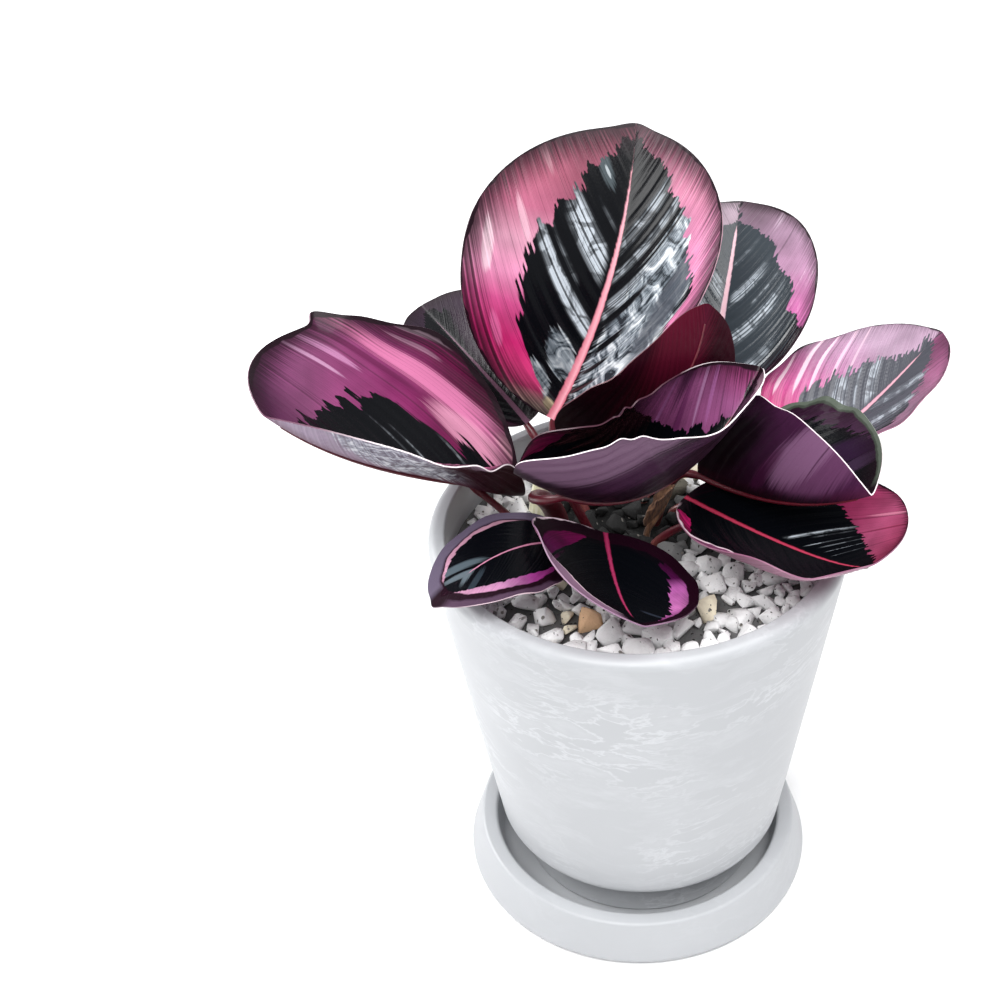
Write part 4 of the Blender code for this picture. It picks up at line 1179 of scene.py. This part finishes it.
def stem_skin(colour):
    """Leaf stem: wine-red fibrous skin, cream where it comes out of the ground."""
    material, tree, shader = new_material("wine red stem", Coat_Weight=0.2, Coat_Roughness=0.3)
    where = add(tree, "TexCoord", output="Object")
    height = add(tree, "SeparateXYZ", [where], output=2)
    stretched = add(tree, "Mapping", {"Vector": where, "Scale": (1.0, 1.0, 0.12)})
    fibres = add(tree, "TexNoise", {"Vector": stretched, "Scale": 1400.0, "Detail": 2.0})
    level = add(tree, "Math", [fibres, 8 * MM, height], "MULTIPLY_ADD")
    level = add(tree, "MapRange", [level, 140 * MM, 158 * MM])
    tones = [(0.0, "#B9A77F"), (0.35, "#8A5A50"), (0.8, colour)]
    skin = add(tree, "ValToRGB", [level], stops=tones)
    skin = add(tree, "Mix", [fibres, skin, "#6A1426"])
    rough = add(tree, "MapRange", [fibres, 0.3, 0.7, 0.3, 0.5])
    dress(shader, skin, fibres, 0.1 * MM, 0.4, rough)
    return material


def sheath_skin(name, pale, deep, roughness):
    """Sheath: papery skin with fibres along it, dry and brown or young and cream."""
    material, tree, shader = new_material(name, Roughness=roughness, Sheen_Weight=0.2)
    where = add(tree, "TexCoord", output="Object")
    stretched = add(tree, "Mapping", {"Vector": where, "Scale": (1.0, 1.0, 0.08)})
    fibres = add(tree, "TexNoise", {"Vector": stretched, "Scale": 1100.0, "Detail": 3.0})
    tone = add(tree, "MapRange", [fibres, 0.35, 0.65])
    skin = add(tree, "Mix", [tone, deep, pale])
    dress(shader, skin, fibres, 0.15 * MM, 0.7)
    return material


# Stones, soil and plastic

def crossing(path, height):
    """Where a stem's middle line passes a height, in plan."""
    for (low, _), (high, _) in zip(path, path[1:]):
        if low.z <= height <= high.z:
            return low.lerp(high, (height - low.z) / (high.z - low.z)).xy
    return path[0][0].xy


def scatter(rng, reach, count, spacing, taken):
    """Places drawn at random in a disc, clear of each other and of those already taken."""
    places = []
    for _ in range(STONE_TRIES):
        radius = reach * math.sqrt(rng.random())
        angle = rng.uniform(0, math.tau)
        place = Vector((radius * math.cos(angle), radius * math.sin(angle)))
        clear = all((place - other).length > room for other, room in taken)
        if clear and all((place - other).length > spacing for other in places):
            places.append(place)
        if len(places) == count:
            break
    return places


def lightness_in_crown_shadow(place):
    """How light a stone is: darkened round the stems by a painted shadow of the leaves, white further
    out.
    """
    inner, outer = CROWN_RADII
    share = ((place - CROWN).length - inner) / (outer - inner)
    return CROWN_SHADOW_LEAST + (1 - CROWN_SHADOW_LEAST) * max(0, min(1, share)) ** 1.5


def add_stone(bm, rng, centre, sizes, tint, layer):
    """One worn stone: the hull of points drawn on a flattened ball, its edges rubbed round."""
    size = rng.uniform(*sizes)
    radii = Vector((size, size * rng.uniform(*STONE_NARROWING), size * STONE_FLATNESS))
    own = bmesh.new()
    for _ in range(STONE_POINTS):
        direction = Vector((rng.gauss(0, 1), rng.gauss(0, 1), rng.gauss(0, 1))).normalized()
        own.verts.new(direction * radii)
    hull = bmesh.ops.convex_hull(own, input=own.verts)
    inside = [e for e in hull["geom_interior"] if isinstance(e, bmesh.types.BMVert)]
    bmesh.ops.delete(own, geom=inside, context="VERTS")
    tilt = (rng.uniform(-STONE_TILT, STONE_TILT), rng.uniform(-STONE_TILT, STONE_TILT))
    turn = Euler((*tilt, rng.uniform(0, math.tau)))
    bmesh.ops.rotate(own, verts=own.verts, cent=(0, 0, 0), matrix=turn.to_matrix())
    bmesh.ops.bevel(own, geom=own.edges, offset=STONE_WEAR * size, offset_type="OFFSET",
                    segments=1, profile=0.5, affect="EDGES", material=-1, clamp_overlap=True)
    bmesh.ops.recalc_face_normals(own, faces=own.faces)
    bmesh.ops.translate(own, verts=own.verts, vec=centre)
    mesh = bpy.data.meshes.new("stone")
    own.to_mesh(mesh)
    own.free()
    first = len(bm.verts)
    bm.from_mesh(mesh)
    bpy.data.meshes.remove(mesh)
    bm.verts.ensure_lookup_table()
    for i in range(first, len(bm.verts)):
        bm.verts[i][layer] = (*tint, 1)


def add_stones(bm, layer, draws, tints, places, sizes, grade, settings, rust=None):
    """Lay one grade of stones at these places, each with a shape, a shade and a colour."""
    rise, shades, cream_share = grade
    for place in places:
        height = BED_TOP + draws.uniform(*rise)
        # The stone's own random shade, times the painted shadow round the stems
        shade = tints.uniform(*shades) * lightness_in_crown_shadow(place)
        colour = settings.warm if tints.random() < cream_share else settings.pale
        if place is rust:
            colour = settings.rust
        tint = tuple(min(1, part * shade) for part in colour)
        add_stone(bm, draws, (place.x, place.y, height), sizes, tint, layer)


def pumice():
    """Washed pumice: porous volcanic glass, dead matt; the eye gets white grit with dark pores."""
    material, tree, shader = new_material("washed pumice", Roughness=0.92, IOR=1.5)
    tint = add(tree, "Attribute", attribute_name="stone")
    where = add(tree, "TexCoord", output="Object")
    clouds = add(tree, "TexNoise", {"Vector": where, "Scale": 160.0, "Detail": 4.0})
    lightness = add(tree, "MapRange", [clouds, 0.3, 0.7, 0.9, 1.1])
    skin = add(tree, "HueSaturation", {"Value": lightness, "Color": tint})
    # Pores of about 0.7 mm, drawn a little coarser than most of them so that they show
    pores = add(tree, "TexVoronoi", {"Vector": where, "Scale": 420.0}, feature="F1")
    chosen = add(tree, "TexNoise", {"Vector": where, "Scale": 300.0, "Detail": 1.0})
    size = add(tree, "MapRange", [chosen, 0.52, 0.75, 0.0, 0.5])
    pit = add(tree, "Math", [size, pores], "SUBTRACT")
    pit = add(tree, "MapRange", [pit, 0.0, 0.12])
    skin = add(tree, "Mix", [pit, skin, "#8A8680"])
    specks = add(tree, "TexNoise", {"Vector": where, "Scale": 900.0, "Detail": 0.0})
    specks = add(tree, "MapRange", [specks, 0.76, 0.8])
    skin = add(tree, "Mix", [specks, skin, "#1E1C1B"])
    grit = add(tree, "TexNoise", {"Vector": where, "Scale": 1300.0, "Detail": 3.0})
    height = add(tree, "Math", [pit, -1.2, grit], "MULTIPLY_ADD")
    dress(shader, skin, height, 0.35 * MM, 0.8)
    return material


def potting_soil():
    """Damp bark and peat: crumbly and nearly black, with brown fibres."""
    material, tree, shader = new_material("damp bark and peat", Roughness=0.95)
    where = add(tree, "TexCoord", output="Object")
    crumbs = add(tree, "TexNoise", {"Vector": where, "Scale": 420.0, "Detail": 6.0})
    tone = add(tree, "MapRange", [crumbs, 0.35, 0.7])
    skin = add(tree, "Mix", [tone, "#1A1614", "#4E463E"])
    dress(shader, skin, crumbs, 1.2 * MM, 1.0)
    return material


def moulded_plastic(name, settings, amount):
    """Polypropylene, injection moulded with a marbling of white stock, satin from the mould.

    The eye gets a cool grey skin, faint cloudy wisps that the flow drew out level, and a soft
    broad highlight.
    """
    material, tree, shader = new_material(name, IOR=1.49)
    where = add(tree, "TexCoord", output="Object")
    bent = add(tree, "TexNoise", {"Vector": where, "Scale": 26.0, "Detail": 3.0}, output="Color")
    bent = add(tree, "VectorMath", [bent, (0.5, 0.5, 0.5)], "SUBTRACT")
    bent = add(tree, "VectorMath", [bent, (0.03, 0.03, 0.02), where], "MULTIPLY_ADD")
    level = add(tree, "Mapping", {"Vector": bent, "Scale": (1.0, 1.0, 3.2)})
    curls = add(tree, "TexNoise", {"Vector": level, "Scale": 42.0, "Detail": 5.0,
                                   "Roughness": 0.62})
    thin = add(tree, "Math", [curls, 0.5], "SUBTRACT")
    thin = add(tree, "Math", [thin], "ABSOLUTE")
    thin = add(tree, "MapRange", [thin, 0.045, 0.0])
    zones = add(tree, "TexNoise", {"Vector": where, "Scale": 17.0, "Detail": 2.0})
    zones = add(tree, "MapRange", [zones, 0.42, 0.62])
    wispy = add(tree, "Math", [thin, zones], "MULTIPLY")
    cloud = add(tree, "MapRange", [curls, 0.5, 0.72, 0.0, 0.5])
    wispy = add(tree, "Math", [wispy, cloud], "MAXIMUM")
    wispy = add(tree, "Math", [wispy, amount], "MULTIPLY")
    skin = add(tree, "Mix", [wispy, tuple(settings.plastic), tuple(settings.marbling)])
    rough = add(tree, "MapRange", [curls, 0.3, 0.7, 0.34, 0.44])
    # Mould texture of about 0.3 mm
    grain = add(tree, "TexNoise", {"Vector": where, "Scale": 3000.0, "Detail": 1.0})
    dress(shader, skin, grain, 0.05 * MM, 0.15, rough)
    return material


def painted_board(colour):
    """Studio floor: board painted matt white, with the roller's faint stipple."""
    material, tree, shader = new_material("matt painted board", Roughness=0.6)
    where = add(tree, "TexCoord", output="Object")
    stipple = add(tree, "TexNoise", {"Vector": where, "Scale": 300.0, "Detail": 2.0})
    lightness = add(tree, "MapRange", [stipple, 0.0, 1.0, 0.985, 1.0])
    skin = add(tree, "HueSaturation", {"Value": lightness, "Color": colour})
    dress(shader, skin)
    return material


def add_lamp(name, place, size, power):
    """A soft rectangular light that faces the plant."""
    light = bpy.data.lights.new(name, "AREA")
    light.shape = "RECTANGLE"
    light.size, light.size_y = size
    light.energy = power
    lamp = placed(name, light)
    lamp.location = place
    lamp.rotation_mode = "QUATERNION"
    lamp.rotation_quaternion = (lamp.location - AIM).to_track_quat("Z", "Y")


# Operators

class CALATHEA_OT_leaves(bpy.types.Operator):
    """Build the leaves with their ribs and stems"""

    bl_idname = "calathea.leaves"
    bl_label = "Leaves"

    def execute(self, context):
        settings = context.scene.calathea_leaves
        colours = {key: tuple(getattr(settings, key)) for key in ("centre", "silver_and_sheen", "edge")}
        colours["centre_light"] = tuple(CENTRE_SILK * part for part in colours["centre"])
        stem = stem_skin(tuple(settings.stem))
        for name, paint in PAINTS.items():
            leaf = LEAVES[name]
            piece = name + "_painted"
            materials = [
                upper_side(name + " waxy upper side", leaf, paint, colours),
                underside(name + " silky underside", leaf, paint),
                cut_edge(name + " pale rim", paint),
                stem,
            ]
            path = stem_path(leaf, STEM_STEPS, JOINT_SWELL) + rib_path(leaf)
            mesh = whole_leaf(piece, leaf, settings.thickness, materials, path)
            link(piece, mesh, materials, name)
        return {"FINISHED"}


class CALATHEA_OT_sheaths(bpy.types.Operator):
    """Build the young shoot and the dry sheath"""

    bl_idname = "calathea.sheaths"
    bl_label = "Shoot and sheath"

    def execute(self, context):
        dry = sheath_skin("dry papery sheath", "#8A6346", "#4A2C1C", 0.75)
        leaf = LEAVES["dry_sheath"]
        path = stem_path(leaf, SHEATH_STEPS) + rib_path(leaf, SHEATH_RIB_STEPS)
        mesh = whole_leaf("dry_sheath_curled", leaf, BLADE, [dry], path, 3)
        link("dry_sheath_curled", mesh, [dry], "dry_sheath")
        young = sheath_skin("young cream sheath", "#F6F3DC", "#DAD6AC", 0.4)
        bm = bmesh.new()
        bm.from_mesh(tube_mesh("young_shoot", shoot_path(SHOOT_STEPS), 5))
        link("young_shoot_rolled", finished_mesh(bm, "young_shoot_rolled", 60), [young],
             "young_shoot")
        return {"FINISHED"}


class CALATHEA_OT_stones(bpy.types.Operator):
    """Build the top dressing of washed pumice, and finish the soil under it"""

    bl_idname = "calathea.stones"
    bl_label = "Stones and soil"

    def execute(self, context):
        settings = context.scene.calathea_stones
        stems = [stem_path(leaf) for leaf in LEAVES.values()] + [shoot_path()]
        feet = [(crossing(path, BED_TOP), path[0][1] + STEM_SPACING) for path in stems]
        rng = random.Random(SEED)
        tints = random.Random(SEED + 1)
        bm = bmesh.new()
        layer = bm.verts.layers.float_color.new("stone")

        large = scatter(rng, BED_RING - STONE_RADIUS[1], STONE_COUNT, STONE_SPACING, feet)
        rust = min(large, key=lambda place: (place - Vector(RUST_STONE)).length)
        add_stones(bm, layer, rng, tints, large, STONE_RADIUS, LARGE_GRADE, settings, rust)

        taken = [(foot, room - SMALL_NEARER) for foot, room in feet]
        taken += [(place, SMALL_FROM_LARGE) for place in large]
        small = scatter(tints, RIM_INNER - SMALL_FROM_WALL, settings.small_stones,
                        SMALL_SPACING, taken)
        sizes = (SMALL_LEAST * settings.small_radius, settings.small_radius)
        add_stones(bm, layer, tints, tints, small, sizes, SMALL_GRADE, settings)

        stones = len(bm.verts)
        profile = [(ring / GRIT_RINGS * (RIM_INNER - BED_GAP), GRIT_TOP)
                   for ring in range(GRIT_RINGS + 1)]
        profile += [(RIM_INNER - BED_TAPER, SOIL_TOP + BED_GAP), (0, SOIL_TOP + BED_GAP)]
        bed = turned("bed", profile, GRIT_STEPS)
        bm.from_mesh(bed)
        bpy.data.meshes.remove(bed)
        bm.verts.ensure_lookup_table()
        for i in range(stones, len(bm.verts)):
            # The grit gets the same painted shadow round the stems
            tint = GRIT_TINT * lightness_in_crown_shadow(bm.verts[i].co.xy)
            bm.verts[i][layer] = (tint, tint, tint, 1)
        link("pumice_stones", finished_mesh(bm, "pumice_stones", 60), [pumice()],
             "pumice_top_dressing")

        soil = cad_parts["potting_soil"].data.materials
        soil.clear()
        soil.append(potting_soil())
        return {"FINISHED"}


class CALATHEA_OT_pot(bpy.types.Operator):
    """Build the pot"""

    bl_idname = "calathea.pot"
    bl_label = "Pot"

    def execute(self, context):
        settings = context.scene.calathea_pot
        foot_inner = FOOT_RADIUS - FOOT_WIDTH
        step_z = SKIRT_Z + (RIM_INNER + WALL - SKIRT_RADIUS) / CONE_SLOPE
        lean = math.degrees(math.atan(CONE_SLOPE))
        skirt_centre = (SKIRT_RADIUS - SKIRT_ROUND * math.cos(math.radians(lean)), SKIRT_Z)
        floor_inner = SKIRT_RADIUS + CONE_SLOPE * (POT_FLOOR_TOP - SKIRT_Z) - WALL
        profile = arc((RIM_INNER + RIM_INNER_ROUND, RIM_TOP - RIM_INNER_ROUND),
                      RIM_INNER_ROUND, 180, 90, 4)
        profile += arc((RIM_RADIUS - RIM_ROUND, RIM_TOP - RIM_ROUND), RIM_ROUND, 90, 0, 10)
        profile += arc(skirt_centre, SKIRT_ROUND, -lean, -90, 10)
        profile += [
            (FOOT_RADIUS, SKIRT_Z - SKIRT_ROUND),
            (FOOT_RADIUS, FOOT_Z + FOOT_CHAMFER),
            (FOOT_RADIUS - FOOT_CHAMFER, FOOT_Z),
            (foot_inner, FOOT_Z),
            (foot_inner, POT_FLOOR_LOW),
            (DRAIN_RADIUS, POT_FLOOR_LOW),
            (DRAIN_RADIUS, POT_FLOOR_TOP),
            (floor_inner, POT_FLOOR_TOP),
            (RIM_INNER, step_z),
        ]
        mesh = turned("pot_turned", profile, settings.turn_steps)
        plastic = moulded_plastic("marbled satin polypropylene", settings, POT_WISPS)
        link("pot_turned", mesh, [plastic], "pot")
        return {"FINISHED"}


class CALATHEA_OT_saucer(bpy.types.Operator):
    """Build the saucer"""

    bl_idname = "calathea.saucer"
    bl_label = "Saucer"

    def execute(self, context):
        settings = context.scene.calathea_pot
        floor_radius = LIP_INNER - FLOOR_MARGIN
        profile = [(0, SAUCER_FLOOR), (floor_radius, SAUCER_FLOOR)]
        profile += arc((floor_radius, SAUCER_FLOOR + FLOOR_ROUND), FLOOR_ROUND, -90, -12, 6)
        profile += arc((LIP_INNER + LIP_ROUND, LIP_TOP - LIP_ROUND), LIP_ROUND, 180, 90, 6)
        profile += arc((LIP_OUTER - LIP_ROUND, LIP_TOP - LIP_ROUND), LIP_ROUND, 90, 15, 6)
        profile += arc((SIDE_RADIUS - SIDE_ROUND, SIDE_ROUND), SIDE_ROUND, 15, -90, 8)
        profile += [(0, 0)]
        mesh = turned("saucer_turned", profile, settings.turn_steps, SAUCER_OFFSET)
        plastic = moulded_plastic("plain satin polypropylene", settings, SAUCER_WISPS)
        link("saucer_turned", mesh, [plastic], "saucer")
        return {"FINISHED"}


class CALATHEA_OT_studio(bpy.types.Operator):
    """Build the floor, the lights and the camera"""

    bl_idname = "calathea.studio"
    bl_label = "Studio"

    def execute(self, context):
        settings = context.scene.calathea_studio
        scene = context.scene
        bm = bmesh.new()
        bmesh.ops.create_grid(bm, x_segments=1, y_segments=1, size=FLOOR_REACH)
        mesh = finished_mesh(bm, "studio_floor")
        mesh.materials.append(painted_board(tuple(settings.floor)))
        floor = placed("studio_floor", mesh)

        world = bpy.data.worlds.new("soft daylight")
        world.use_nodes = True
        sky = world.node_tree.nodes["Background"]
        put(sky.inputs["Color"], "#FBFCFF")
        put(sky.inputs["Strength"], settings.daylight)
        scene.world = world
        for name, place, size in LAMPS:
            add_lamp(name, place, size, getattr(settings, name))

        pitch, roll = math.radians(PITCH), math.radians(ROLL)
        right = Vector((1, 0, 0))
        up = Vector((0, math.sin(pitch), math.cos(pitch)))
        ahead = Vector((0, math.cos(pitch), -math.sin(pitch)))
        across = math.cos(roll) * right + math.sin(roll) * up
        above = math.cos(roll) * up - math.sin(roll) * right
        lens = bpy.data.cameras.new("photo_view")
        lens.lens = LENS
        lens.sensor_width = SENSOR
        lens.clip_start = 0.01
        camera = placed("photo_view", lens)
        camera.matrix_world = Matrix.Translation(EYE) @ Matrix(
            (across, above, -ahead)).transposed().to_4x4()
        scene.camera = camera
        scene.view_settings.view_transform = "Standard"
        return {"FINISHED"}


class CALATHEA_PT_panel(bpy.types.Panel):
    """Lists what builds the plant"""

    bl_idname = "CALATHEA_PT_panel"
    bl_label = "Potted calathea"
    bl_space_type = "VIEW_3D"
    bl_region_type = "UI"
    bl_category = "Calathea"

    def draw(self, context):
        for group, operators in PANEL_ROWS:
            box = self.layout.box()
            settings = getattr(context.scene, group)
            for key in settings.__annotations__:
                box.prop(settings, key)
            for operator in operators:
                box.operator(operator.bl_idname)


GROUPS = {
    "calathea_leaves": LeafSettings,
    "calathea_stones": StoneSettings,
    "calathea_pot": PotSettings,
    "calathea_studio": StudioSettings,
}
PANEL_ROWS = (
    ("calathea_pot", (CALATHEA_OT_saucer, CALATHEA_OT_pot)),
    ("calathea_stones", (CALATHEA_OT_stones,)),
    ("calathea_leaves", (CALATHEA_OT_leaves, CALATHEA_OT_sheaths)),
    ("calathea_studio", (CALATHEA_OT_studio,)),
)
OPERATORS = [operator for _, operators in PANEL_ROWS for operator in operators]


def register():
    """Register the settings, the operators and the panel."""
    for group in GROUPS.values():
        bpy.utils.register_class(group)
    for name, group in GROUPS.items():
        setattr(bpy.types.Scene, name, PointerProperty(type=group))
    for kind in (*OPERATORS, CALATHEA_PT_panel):
        bpy.utils.register_class(kind)


def unregister():
    """Take back what register() did."""
    for kind in (CALATHEA_PT_panel, *reversed(OPERATORS)):
        bpy.utils.unregister_class(kind)
    for name, group in GROUPS.items():
        delattr(bpy.types.Scene, name)
        bpy.utils.unregister_class(group)


def main():
    """Build everything."""
    register()
    bpy.ops.calathea.saucer()
    bpy.ops.calathea.pot()
    bpy.ops.calathea.stones()
    bpy.ops.calathea.leaves()
    bpy.ops.calathea.sheaths()
    bpy.ops.calathea.studio()


if __name__ == "__main__":
    main()
